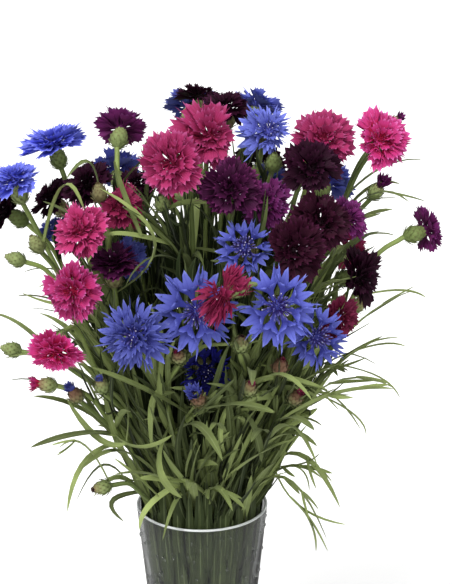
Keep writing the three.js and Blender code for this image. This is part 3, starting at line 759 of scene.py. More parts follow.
def lay_head(head):
    """Where the main florets of a head lie: ring, angle round it, lean, root and length."""
    across, beside, axis = head_axes(head["axis"])
    foot = head["centre"] + axis * CLEARANCE
    form = HEAD_FORMS[head["form"]]
    sides = form["sides"]
    turn = draws.one()
    rows = [(np.array([foot + axis * CORE_RINGS[1][1]]), np.array([CORE_RINGS[1][0]]))]
    head["florets"] = []

    def on_ring(ring, k):
        radius, height = CORE_RINGS[ring]
        angle = 2 * math.pi * (k + turn) / sides
        return foot + axis * height + across * radius * math.cos(angle) + beside * radius * math.sin(angle)

    for ring, (tilt, sway, reach, width, count) in enumerate([form["outer"], form["inner"]]):
        for k in range(sides):
            corners = [on_ring(ring, k), on_ring(ring, k + 1), on_ring(ring + 1, k + 1), on_ring(ring + 1, k)]
            root = sum(corners) / 4
            angle = 2 * math.pi * (k + turn + 0.5) / sides
            lean = math.radians(tilt + (sway if k % 2 == 0 else -sway))
            direction = outward_at(across, beside, angle) * math.cos(lean) + axis * math.sin(lean)
            full = head["radius"] * reach * draws.between(0.92, 1)
            wanted = (k + 1) * count // sides > k * count // sides
            length = 0
            for share in FLORET_TRIES if wanted else ():
                trial = full * share - FLORET_ROOT
                points = [root + direction * trial * t for t in FLORET_MARKS]
                row = balls_along(points, [trial * width * t for t in FLORET_OUTLINE], FLORET_STEP)
                if room.is_clear(row, FLORET_GAP, (head["name"], head["cup_owner"])):
                    rows.append(row)
                    length = trial
                    break
            place = {"ring": ring, "angle": angle, "lean": lean, "root": root, "length": length}
            head["florets"].append(place)
    for row in rows:
        room.claim(row, head["name"])


def midrib(root, tip, arch, marks=LEAF_MARKS):
    """Points of a leaf's midrib: it leaves the stem, rises by the arch, and comes down to its tip."""
    t = np.array(marks)[:, None]
    return root + (tip - root) * t + UP * arch * 4 * t * (1 - t)


def misses_glass(row):
    """Whether a row of balls keeps clear of the wall and the rim."""
    place, radius = row
    away = np.hypot(place[:, 0], place[:, 1]) - glass_radius(np.minimum(place[:, 2], GLASS_HEIGHT))
    above = place[:, 2] > GLASS_HEIGHT + radius + 1.5
    return np.all(above | (away > radius + 1) | (away < -GLASS_WALL - radius - 1))


def lay_leaf(owner, root, tip, arch, width):
    """Keeps a leaf if it has room."""
    points = midrib(root, tip, arch)
    radii = [max(THINNEST_LEAF, share * width / 2) for share in LEAF_OUTLINE]
    near = balls_along(points[:2], radii[:2], BALL_STEP)
    far = balls_along(points[1:], radii[1:], BALL_STEP)
    row = np.vstack([near[0], far[0]]), np.append(near[1], far[1])
    cups = [s["cup_owner"] for s in strands if s["owner"] == owner and "cup_owner" in s]
    if not misses_glass(row) or not room.is_clear(far, LEAF_GAP):
        return False
    if not room.is_clear(near, LEAF_GAP, (owner, *cups)):
        return False
    leaves.append({"owner": owner, "root": root, "tip": tip, "arch": arch, "width": width})
    room.claim(row, owner)
    return True


def at_height(points, z):
    """The point of a strand at a height."""
    k = 1
    while k < len(points) - 1 and points[k][2] < z:
        k += 1
    t = (z - points[k - 1][2]) / (points[k][2] - points[k - 1][2])
    return points[k - 1] + (points[k] - points[k - 1]) * min(1, max(0, t))


def lay_reaching_leaves():
    """Each long leaf grows from the nearest strand of its stem on which it has room."""
    for stem, height, x, y, z, arch, width in REACHING_LEAVES:
        tip = np.array([x, y, z], float)
        own = [s for s in strands if s["stem"] == stem]
        roots = sorted((at_height(s["points"], height) for s in own), key=lambda root: length_of(root - tip))
        any(lay_leaf(own[0]["owner"], root, tip, arch, width) for root in roots)


def lay_side_leaves():
    """Each stem gets leaves at drawn places, each the first of some tries that has room."""
    for owner in dict.fromkeys(s["owner"] for s in strands):
        own = [s for s in strands if s["owner"] == owner]
        for _ in range(LEAVES_PER_STEM):
            for _ in range(LEAF_TRIES):
                points = own[draws.choice(len(own))]["points"]
                k = 1 + draws.choice(len(points) - 2)
                root = points[k - 1] + (points[k] - points[k - 1]) * draws.one()
                along = unit(points[k] - points[k - 1])
                outward = facing(draws.between(-180, 180), 0)
                outward[:2] += root[:2] / 90
                outward = unit(outward)
                length = draws.between(*SIDE_LEAF_LENGTHS)
                direction = along * draws.between(0.2, 1)
                direction = unit(direction + outward * draws.between(0.5, 1))
                tip = root + direction * length
                arch = draws.between(2, 0.28 * length)
                width = draws.between(*SIDE_LEAF_WIDTHS)
                if root[2] > GLASS_HEIGHT + 4 and lay_leaf(owner, root, tip, arch, width):
                    break


room = Room()
leaves = []
for i, strand in enumerate(strands):
    strand["owner"] = f"leafy_stem_{strand['stem']:02d}"
    points = strand["points"]
    room.claim(balls_along(points, [STEM_RADIUS] * len(points), BALL_STEP), strand["owner"])
    if strand["kind"] != "main":
        strand["cup_owner"] = f"{strand['owner']}_cup_{i}"
        foot, axis, form = points[-1], strand["axis"], strand["form"]
        on_axis = [foot, foot + axis * form["length"] * BELLY_AT, foot + axis * (form["length"] - 2)]
        room.claim(balls_along(on_axis, [2, form["belly"], form["neck"]], BALL_STEP), strand["cup_owner"])
for i, head in enumerate(heads):
    head["name"] = f"bloom_{head['colour']}_{i + 1:02d}"
    head["cup_owner"] = next(s["cup_owner"] for s in strands if s.get("head") is head)
    lay_head(head)
lay_reaching_leaves()
lay_side_leaves()

# Stems, leaves, cups and buds
# Everything green on one stem grew as one piece: ribbed stalks, narrow felted leaves with a pale midrib,
# and under each head a cup of overlapping scales with a brown fringe. A closed bud is a smaller cup.
STALK_SIDES = 8
STALK_STEPS = 5
CUP_SIDES = 14
CUP_SHAPE = ((0, 1.8), (0.1, 3.2), (0.25, 4.6), (0.42, 5.1), (0.65, 4.7), (0.85, 3.9), (1, 3.5))
BUD_SHAPE = ((0, 1.8), (0.1, 2.9), (0.25, 4.0), (0.42, 4.4), (0.65, 3.8), (0.85, 2.5), (1, 1.3))
CUP_ROWS = 10
SCALE_ROWS = 7
SCALES_PER_ROW = 9
SCALE_LENGTH = 4.4
SCALE_WIDTH = 3.3
# The first row of scales and how far up the last one is, how far a scale stands off and how deep it is set
SCALES_FROM = 0.02
SCALES_OVER = 0.8
SCALE_LIFT = 0.12
SCALE_SUNK = 0.2
LEAF_ROWS = np.array([0, 0.06, 0.14, 0.24, 0.35, 0.46, 0.57, 0.68, 0.79, 0.89, 0.96, 1])
LEAF_WIDTHS = ((0, 0.5), (0.1, 0.72), (0.28, 0.96), (0.5, 1), (0.7, 0.92), (0.85, 0.7), (0.95, 0.36), (1, 0))
LEAF_THICKNESS = 0.5
LEAF_CHANNEL = 0.3
LEAF_WAVE = 0.035
LEAF_NARROWING = 0.6
EXTRA_TRIES = 10
# Leaves in layers: the bare top of a strand, how near a head they come in its radii, how far they start off
# the stem at least and how much more if they hang, how much those bend, and how far leaves twist at their
# root and along them
BARE_TOP = 12
HEAD_KEPT_FREE = 0.75
LEAST_OFF = 0.12
HANGING_OFF = 0.25
HANGING_BENDS = (60, 150)
LAYER_TWIST = (30, 60)
SIDE_TWIST = (12, 20)
# The tone of a side leaf and how much more it may be, the share of leaves with lobes, and how far right
# the leaves at the front reach that all have them
SIDE_LEAF_TONE = 0.25
SIDE_LEAF_TONE_RANGE = 0.6
LOBED_SHARE = 0.07
LOBED_BEYOND = 80
# Where leaves start to be shorter and narrower, over what height, and by what share at most
UPPER_FROM = 200
UPPER_HEIGHT = 120
UPPER_SHORTER = 0.3
UPPER_NARROWER = 0.2
# How the leaves fill each stem: count, lowest and highest root, how far they turn from facing out,
# how far they start off the stem, share that hang over, bend, length, width and tone from and to
LEAF_LAYERS = (
    (78, 125, 320, 70, 0.22, 0.04, (-14, 30), (50, 125), (2.2, 5.6), (0.05, 0.9)),
    (22, 140, 330, 110, 0.3, 0.1, (25, 85), (50, 105), (2.6, 7), (0.2, 1)),
    # The third layer, high among the heads, has darker tones, a painted shade.
    (34, 225, 370, 180, 0.3, 0.04, (-14, 30), (35, 75), (2.4, 5.6), (0, 0.6)),
    # The fourth layer, inside the glass, has the darkest tones, a painted shade for the inside of the glass.
    (20, 30, 128, 100, 1.1, 0, (-60, -12), (40, 90), (3.4, 7.5), (0, 0.15)),
    (46, 205, 325, 180, 0.25, 0, (-14, 10), (50, 105), (5, 10), (0, 0.04)),
    (24, 130, 215, 180, 0.2, 0, (-10, 10), (60, 110), (4, 8), (0, 0.05)),
)
# The last two layers are wide dark leaves deep in the bunch, which stay this near to the axis of the glass;
# their near-black tone is a painted shade for the inside of the bunch.
DEEP_LAYERS = LEAF_LAYERS[4:]
DEEP_REACH = 60
# Leaves that press against the glass from inside: count on each stem, root height, length, width, turn,
# how far off the wall, twist and tone
WALL_LEAVES = 16
WALL_ROOTS = (45, 100)
WALL_LENGTHS = (50, 115)
WALL_WIDTHS = (4, 8)
WALL_TURN = 34
WALL_OFF = (1.2, 4)
WALL_TWIST = (6, 6)
# Their tones are near the darkest, a painted shade for the inside of the glass.
WALL_TONES = (0, 0.08)
# Leaves that stand out from the bunch: the steps of a strand that they may grow from, and how they twist
STANDOUT_STEPS = 12
STANDOUT_TILT = 30
STANDOUT_TWIST = (12, 30)
# For each of them its root near a stem or an earlier one, its middle, tip, width and tone
STANDOUT_LEAVES = (
    ((-28, -40, 330), (-44, -50, 355), (-61, -52, 353), 5, 0.9),
    ((-59, -25, 374), (-68, -35, 397), (-82, -45, 388), 3.4, 0.3),
    ((-103, -30, 347), (-85, -40, 383), (-71, -45, 368), 4, 0.85),
    ((-39, -35, 362), (-48, -42, 383), (-52, -45, 400), 5, 0.7),
    ((-23, -35, 368), (-9, -42, 373), (5, -45, 373), 5, 0.8),
    ((-41, -62, 222), (-26, -66, 206), (-12, -55, 179), 6, 0.85),
    ((-62, -45, 203), (-38, -60, 217), (-17, -66, 228), 5, 0.75),
    ((20, -60, 232), (39, -68, 266), (82, -60, 255), 4.5, 0.9),
    ((22, -62, 235), (32, -68, 246), (47, -70, 244), 4, 0.7),
    ((27, -60, 246), (35, -68, 232), (39, -64, 208), 6, 0.25),
    ((-24, -40, 178), (-33, -44, 170), (-41, -38, 148), 4.5, 0.97),
    ((-45, -15, 166), (-60, -20, 161), (-52, -22, 146), 4, 0.3),
    ((48, -15, 180), (66, -20, 188), (79, -20, 196), 3.6, 0.85),
    ((55, -10, 179), (68, -12, 180), (73, -14, 165), 3, 0.8),
    ((46, -20, 179), (66, -30, 162), (97, -34, 150), 5.2, 0.97),
    ((59, -25, 165), (74, -34, 153), (85, -36, 131), 7, 0.97),
    ((66, -28, 161), (75, -34, 147), (77, -34, 130), 5, 0.97),
    ((-53, -35, 201), (-75, -45, 201), (-88, -45, 164), 4, 0.8),
    ((-6, -62, 222), (-2, -66, 251), (-9, -60, 268), 5, 0.8),
    ((9, -58, 200), (13, -64, 230), (20, -60, 250), 4, 0.9),
    ((86, -10, 250), (112, -15, 270), (135, -15, 269), 4, 0.8),
    ((96, -5, 239), (116, -8, 247), (133, -8, 230), 3.6, 0.8),
    ((86, -5, 228), (101, -8, 220), (111, -8, 203), 3.4, 0.8),
    ((114, 5, 295), (130, 2, 303), (149, 0, 298), 4.4, 0.95),
    ((-70, -35, 307), (-89, -40, 306), (-113, -40, 314), 4, 0.8),
    ((-39, -50, 312), (-27, -55, 351), (-62, -45, 383), 5.5, 0.88),
    ((-42, -42, 201), (-66, -48, 218), (-86, -48, 246), 4.4, 0.6),
    ((-31, -45, 187), (-42, -50, 193), (-56, -50, 205), 3.4, 0.9),
    ((-60, -38, 214), (-66, -42, 219), (-72, -42, 219), 4, 0.75),
    ((-34, -58, 230), (-31, -62, 242), (-27, -60, 256), 6, 0.6),
    ((-45, -48, 222), (-46, -54, 244), (-54, -52, 264), 3.6, 0.55),
    # The last five are wide leaves in the darkest tone among the stems behind the heads, a painted shade
    # there.
    ((-22, 14, 262), (-20.5, 16, 310), (-20, 18, 352), 11, 0),
    ((-35, 14, 270), (-35, 17, 306), (-34, 20, 340), 9, 0),
    ((-27, 12, 262), (-27, 14, 308), (-28, 16, 346), 10, 0),
    ((-30, 10, 255), (-30, 12, 290), (-28, 16, 322), 9, 0),
    ((-18, 12, 184), (-18, 14, 225), (-18, 16, 264), 9, 0),
)
# How far leaves reach from the axis of the glass, by height, and how much further a few of them do
GREEN_OUTLINE = np.array([
    (0, 60), (150, 50), (193, 63), (227, 78), (262, 91), (296, 96), (340, 88), (380, 68), (400, 44), (430, 28)
])
STRAY_REACH = 0.25
# Leaves further inside the bunch are painted darker, down to this share of their tone, as painted shade.
INNER_SHADE = 0.35
# How much redder the scales of an opening bud get towards its tip
BUD_FLUSH = 0.9


class Skin:
    """Points and faces of a piece as it grows, with what its finish reads at each point."""

    def __init__(self):
        self.points = []
        self.faces = []
        self.values = {"along": [], "across": [], "tone": [], "kind": []}
        self.count = 0

    def add(self, points, faces, **values):
        self.points.append(np.asarray(points, float))
        self.faces += [[index + self.count for index in face] for face in faces]
        for name, row in self.values.items():
            row.append(np.broadcast_to(np.asarray(values.get(name, 0), float), len(points)))
        self.count += len(points)

    def build(self, name, markers=()):
        """The mesh object, with markers as loose points that carry where a repeated piece is set."""
        total = self.count + len(markers)
        places = [m["place"] for m in markers]
        piece = mesh_object(name, np.vstack([*self.points, *places]), self.faces, None)
        for key, row in self.values.items():
            values = np.concatenate([*row, [m.get(key, 0) for m in markers]])
            attribute = piece.data.attributes.new(key, "FLOAT", "POINT")
            attribute.data.foreach_set("value", values.astype(np.float32))
        mark = np.zeros(total, np.int32)
        mark[self.count:] = [m["mark"] for m in markers]
        piece.data.attributes.new("mark", "INT", "POINT").data.foreach_set("value", mark)
        for key in ("aim", "rise", "size"):
            values = np.zeros((total, 3), np.float32)
            values[self.count:] = np.array([m[key] for m in markers]).reshape(-1, 3)
            piece.data.attributes.new(key, "FLOAT_VECTOR", "POINT").data.foreach_set("vector", values.ravel())
        return piece


def grid_faces(rows, columns, end_point=False):
    """Faces of a closed tube of rows, with a flat start and either a flat end or one end point."""
    faces = []
    for i in range(rows - 1):
        for k in range(columns):
            after = (k + 1) % columns
            low, high = i * columns, (i + 1) * columns
            faces.append([low + k, low + after, high + after, high + k])
    last = (rows - 1) * columns
    faces.append([columns - 1 - k for k in range(columns)])
    if end_point:
        faces += [[last + k, last + (k + 1) % columns, last + columns] for k in range(columns)]
    else:
        faces.append([last + k for k in range(columns)])
    return faces


def round_angles(count):
    return 2 * np.pi * np.arange(count) / count


def directions(points):
    """The way along a row of points, at each of them."""
    along = np.gradient(points, axis=0)
    return along / np.linalg.norm(along, axis=1)[:, None]


def curve_through(points, steps):
    """A smooth curve through every point."""
    ends = np.vstack([2 * points[0] - points[1], points, 2 * points[-1] - points[-2]])
    t = (np.arange(steps) / steps)[:, None]
    rows = []
    for a, b, c, d in zip(ends, ends[1:], ends[2:], ends[3:]):
        bend = (2 * a - 5 * b + 4 * c - d) * t**2
        rows.append(0.5 * (2 * b + (c - a) * t + bend + (3 * b - a - 3 * c + d) * t**3))
    return np.vstack([*rows, points[-1]])


def add_stalk(skin, points, radii, sides, tone):
    """A round stalk along points, with a radius at each."""
    across = np.array([1.0, 0.0, 0.0])
    angles = round_angles(sides)
    rows = []
    for point, direction, radius in zip(points, directions(points), radii):
        across = unit(across - direction * (across @ direction))
        beside = np.cross(direction, across)
        rows.append(point + radius * (np.cos(angles)[:, None] * across + np.sin(angles)[:, None] * beside))
    t = np.repeat(np.linspace(0, 1, len(points)), sides)
    rib = np.tile(np.where(np.arange(sides) % 2, 0.0, 1.0), len(points))
    skin.add(np.vstack(rows), grid_faces(len(points), sides), along=t, across=rib, tone=tone)


def add_leaf(skin, points, aside, width, twist, tone):
    """A narrow blade with a channel along its midrib, closed all round; aside is the way across it."""
    along = directions(points)
    level = aside - along * (along @ aside)[:, None]
    level /= np.linalg.norm(level, axis=1)[:, None]
    upward = np.cross(level, along)
    angle = np.radians(twist[0] + twist[1] * LEAF_ROWS)[:, None]
    across = level * np.cos(angle) + upward * np.sin(angle)
    normal = np.cross(across, along)
    half = (np.interp(LEAF_ROWS, *zip(*LEAF_WIDTHS)) * width / 2)[:, None]
    sink = normal * half * LEAF_CHANNEL
    under = normal * LEAF_THICKNESS * (1 - LEAF_NARROWING * LEAF_ROWS)[:, None]
    edge_left, edge_right = points - across * half, points + across * half
    rows = np.stack([edge_left, points - sink, edge_right, points - sink - under], axis=1)[:-1]
    values = {
        "along": np.append(np.repeat(LEAF_ROWS[:-1], 4), 1),
        "across": np.append(np.tile([-1.0, 0.0, 1.0, 0.2], len(rows)), 0),
    }
    body = np.vstack([rows.reshape(-1, 3), points[-1]])
    skin.add(body, grid_faces(len(rows), 4, end_point=True), tone=tone, kind=1, **values)


def cup_point(foot, axes, form, shape, share, angle):
    """A point on a cup and the way out of it there."""
    across, beside, axis = axes
    before, radius, after = (np.interp(share + step, *zip(*shape)) for step in (-0.02, 0, 0.02))
    slope = (after - before) / (0.04 * form["length"])
    outward = outward_at(across, beside, angle)
    normal = unit(outward - axis * slope)
    return foot + axis * share * form["length"] + outward * radius, normal


def add_cup(skin, markers, strand):
    """The ovoid cup on a strand, and the marks where its scales are set."""
    axes = head_axes(strand["axis"])
    foot = strand["points"][-1]
    shape = BUD_SHAPE if strand["kind"] == "bud" else CUP_SHAPE
    shares = np.linspace(0, 1, CUP_ROWS)
    angles = round_angles(CUP_SIDES)
    body = [cup_point(foot, axes, strand["form"], shape, s, a)[0] for s in shares for a in angles]
    tone = looks.random()
    flush = BUD_FLUSH if strand.get("opening") else 0
    skin.add(body, grid_faces(CUP_ROWS, CUP_SIDES), tone=tone, kind=2, along=np.repeat(shares, CUP_SIDES))
    for row in range(SCALE_ROWS):
        share = SCALES_FROM + SCALES_OVER * row / (SCALE_ROWS - 1)
        for k in range(SCALES_PER_ROW):
            angle = 2 * math.pi * (k + 0.5 * (row % 2)) / SCALES_PER_ROW
            place, normal = cup_point(foot, axes, strand["form"], shape, share, angle)
            ahead, _ = cup_point(foot, axes, strand["form"], shape, share + 0.05, angle)
            aim = unit(unit(ahead - place) + normal * SCALE_LIFT)
            width = SCALE_WIDTH * np.interp(share, *zip(*shape)) / CUP["belly"]
            size = (width * MM, SCALE_LENGTH * MM, SCALE_LENGTH * MM)
            markers.append({"place": place - normal * SCALE_SUNK, "aim": aim, "rise": normal, "mark": 1,
                            "size": size, "tone": tone + flush * share})


def pattern(name, points, faces, **values):
    """A small piece to be repeated, one unit long, with what its finish reads."""
    piece = mesh_object(name, np.array(points) / MM, faces, None)
    for key, value in values.items():
        row = np.broadcast_to(np.asarray(value, np.float32), len(points))
        piece.data.attributes.new(key, "FLOAT", "POINT").data.foreach_set("value", row)
    return piece


def scale_piece():
    """One scale of a cup: ovate, raised along its middle, with a toothed tip."""
    rows = ((0, 0.7, 0.03), (0.35, 1, 0.1), (0.65, 0.92, 0.1), (0.85, 0.55, 0.08))
    ridge = ((-1, 0.6), (0, 1.3), (1, 0.6))
    points = [(side * width / 2, rise * raised, z) for z, width, rise in rows for side, raised in ridge]
    teeth = [(-0.3, 0.1, 1.0), (-0.12, 0.14, 0.93), (0, 0.1, 1.12), (0.12, 0.14, 0.93), (0.3, 0.1, 1.0)]
    start = len(points)
    faces = [[3 * i + k, 3 * i + k + 1, 3 * i + k + 4, 3 * i + k + 3] for i in range(3) for k in (0, 1)]
    faces += [[start - 3, start - 2, start + 1, start], [start - 2, start + 2, start + 1]]
    faces += [[start - 2, start + 3, start + 2], [start - 2, start - 1, start + 4, start + 3]]
    points = np.array(points + teeth)
    return pattern("scale_pattern", points, faces, along=points[:, 2], across=points[:, 0] * 2, kind=3)


def set_pieces_tree():
    """Sets a first and a second small piece on marked points, turned by what each point carries."""
    tree, given = new_tree("pieces set on marked points", First_Piece="Object", Second_Piece="Object",
                           Size="Float", Tone_Spread="Float")

    def read(name, kind):
        node = add_node(tree, "GeometryNodeInputNamedAttribute", {"Name": name}, data_type=kind)
        return node.outputs["Attribute"]

    mark = read("mark", "INT")
    turn = turn_to(tree, read("aim", "FLOAT_VECTOR"), "Z", read("rise", "FLOAT_VECTOR"), "Y")
    size = add_node(tree, "ShaderNodeVectorMath", {
        0: read("size", "FLOAT_VECTOR"), "Scale": given["Size"]}, operation="SCALE")
    body = add_node(tree, "GeometryNodeDeleteGeometry", {"Geometry": given["Geometry"], "Selection": mark})
    whole = add_node(tree, "GeometryNodeJoinGeometry", {"Geometry": body.outputs["Geometry"]})
    for number, name in ((1, "First Piece"), (2, "Second Piece")):
        settings = {"data_type": "INT", "operation": "EQUAL"}
        chosen = add_node(tree, "FunctionNodeCompare", {2: mark, 3: number}, **settings).outputs["Result"]
        piece = add_node(tree, "GeometryNodeObjectInfo", {"Object": given[name]}).outputs["Geometry"]
        places = set_on_points(tree, given["Geometry"], piece, turn, size.outputs["Vector"], Selection=chosen)
        _, drawn = draw_number(tree, given["Seed"])
        tone = math_node(tree, "MULTIPLY", drawn, given["Tone Spread"])
        tone = math_node(tree, "ADD", tone, read("tone", "FLOAT"))
        toned = add_node(tree, "GeometryNodeStoreNamedAttribute", {
            "Geometry": places, "Name": "tone", "Value": tone}, data_type="FLOAT", domain="INSTANCE")
        tree.links.new(toned.outputs["Geometry"], whole.inputs["Geometry"])
    return finish_tree(tree, given, whole.outputs["Geometry"])


def set_pieces(bases, **inputs):
    """Sets small pieces on the marks of each base, at the sizes that the marks say."""
    run_tree(setting, bases, ("mark", "aim", "rise", "size"), Size=1.0, **inputs)


def colour(code):
    """Linear colour from a six-digit sRGB code."""
    parts = [int(code[i:i + 2], 16) / 255 for i in (0, 2, 4)]
    return (*[c / 12.92 if c <= 0.04045 else ((c + 0.055) / 1.055) ** 2.4 for c in parts], 1)


def mix(tree, factor, a, b, blend="MIX"):
    """Colour a to colour b by a factor; each is a link or a plain value."""
    node = tree.nodes.new("ShaderNodeMix")
    node.data_type = "RGBA"
    node.blend_type = blend
    for index, value in ((0, factor), (6, a), (7, b)):
        if isinstance(value, bpy.types.NodeSocket):
            tree.links.new(value, node.inputs[index])
        else:
            node.inputs[index].default_value = value
    return node.outputs[2]


def attribute(tree, name):
    return add_node(tree, "ShaderNodeAttribute", attribute_name=name).outputs["Fac"]


def ramp(tree, value, low, high):
    """0 to 1 as a value goes from low to high."""
    return remap(tree, value, (low, high), (0.0, 1.0), interpolation_type="SMOOTHSTEP")


def foliage_finish():
    """Grey-green felted skin: pale midribs on the leaves, brown-fringed scales on the cups."""
    material, tree, shader = new_material(
        "foliage", Sheen_Weight=0.04, Sheen_Roughness=0.6, Specular_IOR_Level=0.22
    )

    def times(a, b):
        return math_node(tree, "MULTIPLY", a, b)

    place = object_place(tree)
    along, across, tone, kind = (attribute(tree, name) for name in ("along", "across", "tone", "kind"))
    blotches = noise(tree, place, scale=60.0, detail=3.0)
    felt = noise(tree, place, scale=900.0)
    is_leaf = math_node(tree, "COMPARE", kind, 1.0)
    is_cup = math_node(tree, "GREATER_THAN", kind, 1.5)
    is_scale = math_node(tree, "GREATER_THAN", kind, 2.5)
    # A leaf's tone picks its green, partly its own colour and partly painted shade at the dark end.
    leaf = mix(tree, tone, colour("1f2b0b"), colour("96a562"))
    # The palest leaves get a paler colour still, partly their own felt and partly a painted highlight.
    leaf = mix(tree, ramp(tree, tone, 0.9, 1.0), leaf, colour("9fae6a"))
    edge = math_node(tree, "ABSOLUTE", across)
    middle = times(ramp(tree, edge, 0.22, 0.0), is_leaf)
    leaf = mix(tree, times(middle, 0.25), leaf, colour("a9b782"))
    stem = mix(tree, tone, colour("4c5d2c"), colour("8d9e54"))
    stem = mix(tree, times(across, 0.35), stem, colour("94a36a"))
    green = mix(tree, is_leaf, stem, leaf)
    cup = mix(tree, tone, colour("6a7a42"), colour("9aa86e"))
    cup = mix(tree, times(ramp(tree, tone, 0.65, 1.3), 0.85), cup, colour("7c4a42"))
    fringe = times(ramp(tree, along, 0.8, 1.1), is_scale)
    side = times(ramp(tree, edge, 0.7, 1.0), is_scale)
    cup = mix(tree, times(side, 0.5), cup, colour("5a5230"))
    cup = mix(tree, fringe, cup, mix(tree, tone, colour("54482a"), colour("8a6a50")))
    green = mix(tree, is_cup, green, cup)
    green = mix(tree, 1.0, green, remap(tree, blotches, (0.3, 0.7), (0.8, 1.15)), "MULTIPLY")
    feed(tree, shader, Base_Color=green, Roughness=remap(tree, felt, (0.0, 1.0), (0.5, 0.75)),
         Normal=relief(tree, felt, strength=0.25, depth=0.0004))
    return material


def grown_midrib(root, start, outward, length, bend):
    """Points of a leaf that leaves its stem in one direction and bends outwards, most at its tip."""
    side = unit(outward - start * (start @ outward))
    middle = (LEAF_ROWS[1:] + LEAF_ROWS[:-1]) / 2
    angle = np.radians(bend * middle**1.3)[:, None]
    steps = (start * np.cos(angle) + side * np.sin(angle)) * np.diff(LEAF_ROWS)[:, None] * length
    return root + np.vstack([np.zeros(3), np.cumsum(steps, axis=0)]), unit(np.cross(start, side))


def drawn_twist(spreads, tilt=0):
    """How far a leaf is turned about its midrib at its root, and how much more at its tip, in degrees."""
    return looks.normal(tilt, spreads[0]), looks.normal(0, spreads[1])


def add_lobes(skin, rib, aside, length, width, tone, count=2):
    """Narrow lobes beside a leaf's blade, as the lower leaves have."""
    for side in (-1, 1, -1, 1)[:count]:
        start = looks.integers(3, 8)
        ahead = unit(rib[-1] - rib[start])
        outward = aside * side * looks.uniform(0.5, 1)
        lobe_length = length * looks.uniform(0.25, 0.42)
        points, across = grown_midrib(rib[start], unit(ahead + outward), -outward, lobe_length, 25)
        add_leaf(skin, points, across, width * 0.5, (looks.uniform(40, 90), 20), tone)


def add_leaf_layer(skin, own, layer):
    """A layer of leaves on one stem: most lie close along it, some arch over and hang."""
    count, lowest, highest, turn, off, hanging, bends, lengths, widths, tones = layer
    outline = GREEN_OUTLINE
    if layer in DEEP_LAYERS:
        outline = np.minimum(outline, [999, DEEP_REACH])
    hearts = np.array([heart(head) for head in heads])
    reach = np.array([head["radius"] * HEAD_KEPT_FREE for head in heads])
    low, high = np.array(solid_low) / MM + 1, np.array(solid_high) / MM - 1
    for _ in range(count):
        for _ in range(EXTRA_TRIES):
            points = own[looks.integers(len(own))]["points"]
            bottom = max(points[0][2], lowest)
            top = min(points[-1][2] - BARE_TOP, highest)
            if top <= bottom:
                continue
            height = bottom + (top - bottom) * looks.random() ** 1.2
            root = at_height(points, height)
            stalk = unit(at_height(points, height + 8) - root)
            azimuth = math.degrees(math.atan2(root[0], -root[1])) + looks.uniform(-turn, turn)
            outward = facing(azimuth, 0)
            hangs = looks.random() < hanging
            upper = min(1, max(0, (height - UPPER_FROM) / UPPER_HEIGHT))
            start = unit(stalk + outward * looks.uniform(LEAST_OFF, off + HANGING_OFF * hangs))
            length = looks.uniform(*lengths) * (1 - UPPER_SHORTER * upper)
            bend = looks.uniform(*(HANGING_BENDS if hangs else bends))
            width = looks.uniform(*widths) * (1 - UPPER_NARROWER * upper)
            rib, aside = grown_midrib(root, start, outward, length, bend)
            wave = np.sin(LEAF_ROWS * math.pi * looks.uniform(1, 2)) * looks.normal(0, LEAF_WAVE) * length
            rib += aside * wave[:, None]
            row = balls_along(rib[2:], [width / 2] * (len(rib) - 2), 4)
            near_head = np.linalg.norm(rib[2:, None] - hearts[None], axis=2) < reach
            stray = 1 + STRAY_REACH * looks.random() ** 4
            off_axis = np.hypot(rib[:, 0], rib[:, 1])
            inside = np.all(off_axis < np.interp(rib[:, 2], *outline.T) * stray)
            if inside and np.all((rib > low) & (rib < high)) and misses_glass(row) and not near_head.any():
                break
        else:
            continue
        outermost = (off_axis / np.interp(rib[:, 2], *GREEN_OUTLINE.T)).max()
        tone = tones[0] + (tones[1] - tones[0]) * looks.random() ** 1.4
        # Leaves deep inside the bunch get a painted shade: the further in, the darker.
        tone *= INNER_SHADE + (1 - INNER_SHADE) * min(1, outermost) ** 2
        add_leaf(skin, rib, aside, width, drawn_twist(LAYER_TWIST), tone)
        if looks.random() < LOBED_SHARE:
            add_lobes(skin, rib, aside, length, width, tone)


def add_wall_leaves(skin, own):
    """Leaves that grow out to the glass and stand up along it, flat against its wall."""
    mains = [s["points"] for s in own if s["kind"] == "main"]
    for _ in range(WALL_LEAVES):
        root = at_height(mains[looks.integers(len(mains))], looks.uniform(*WALL_ROOTS))
        length, width = looks.uniform(*WALL_LENGTHS), looks.uniform(*WALL_WIDTHS)
        height = root[2] + LEAF_ROWS * length
        inside = glass_radius(np.minimum(height, GLASS_HEIGHT)) - GLASS_WALL - looks.uniform(*WALL_OFF)
        share = np.clip(2 * LEAF_ROWS, 0, 1)
        share = share * share * (3 - 2 * share)
        start = math.hypot(root[0], root[1])
        angle = math.atan2(root[0], -root[1]) + math.radians(looks.uniform(-WALL_TURN, WALL_TURN)) * share
        radius = start + (inside - start) * share
        rib = np.column_stack([radius * np.sin(angle), -radius * np.cos(angle), height])
        aside = np.array([math.cos(angle[-1]), math.sin(angle[-1]), 0])
        add_leaf(skin, rib, aside, width, drawn_twist(WALL_TWIST), looks.uniform(*WALL_TONES))


def standout_leaves():
    """The midrib of each leaf that stands out, from the nearest stem or earlier one, with its owner."""
    rows = [(s["owner"], curve_through(s["points"], STANDOUT_STEPS)) for s in strands]
    result = []
    for root, middle, tip, width, tone in STANDOUT_LEAVES:
        gaps = [np.linalg.norm(points - root, axis=1).min() for _, points in rows]
        owner, points = rows[int(np.argmin(gaps))]
        start = points[np.argmin(np.linalg.norm(points - root, axis=1))]
        bend = 2 * np.array(middle) - (start + tip) / 2
        t = LEAF_ROWS[:, None]
        rib = (1 - t) ** 2 * start + 2 * t * (1 - t) * bend + t**2 * np.array(tip)
        rows.append((owner, rib))
        result.append((owner, rib, width, tone))
    return result


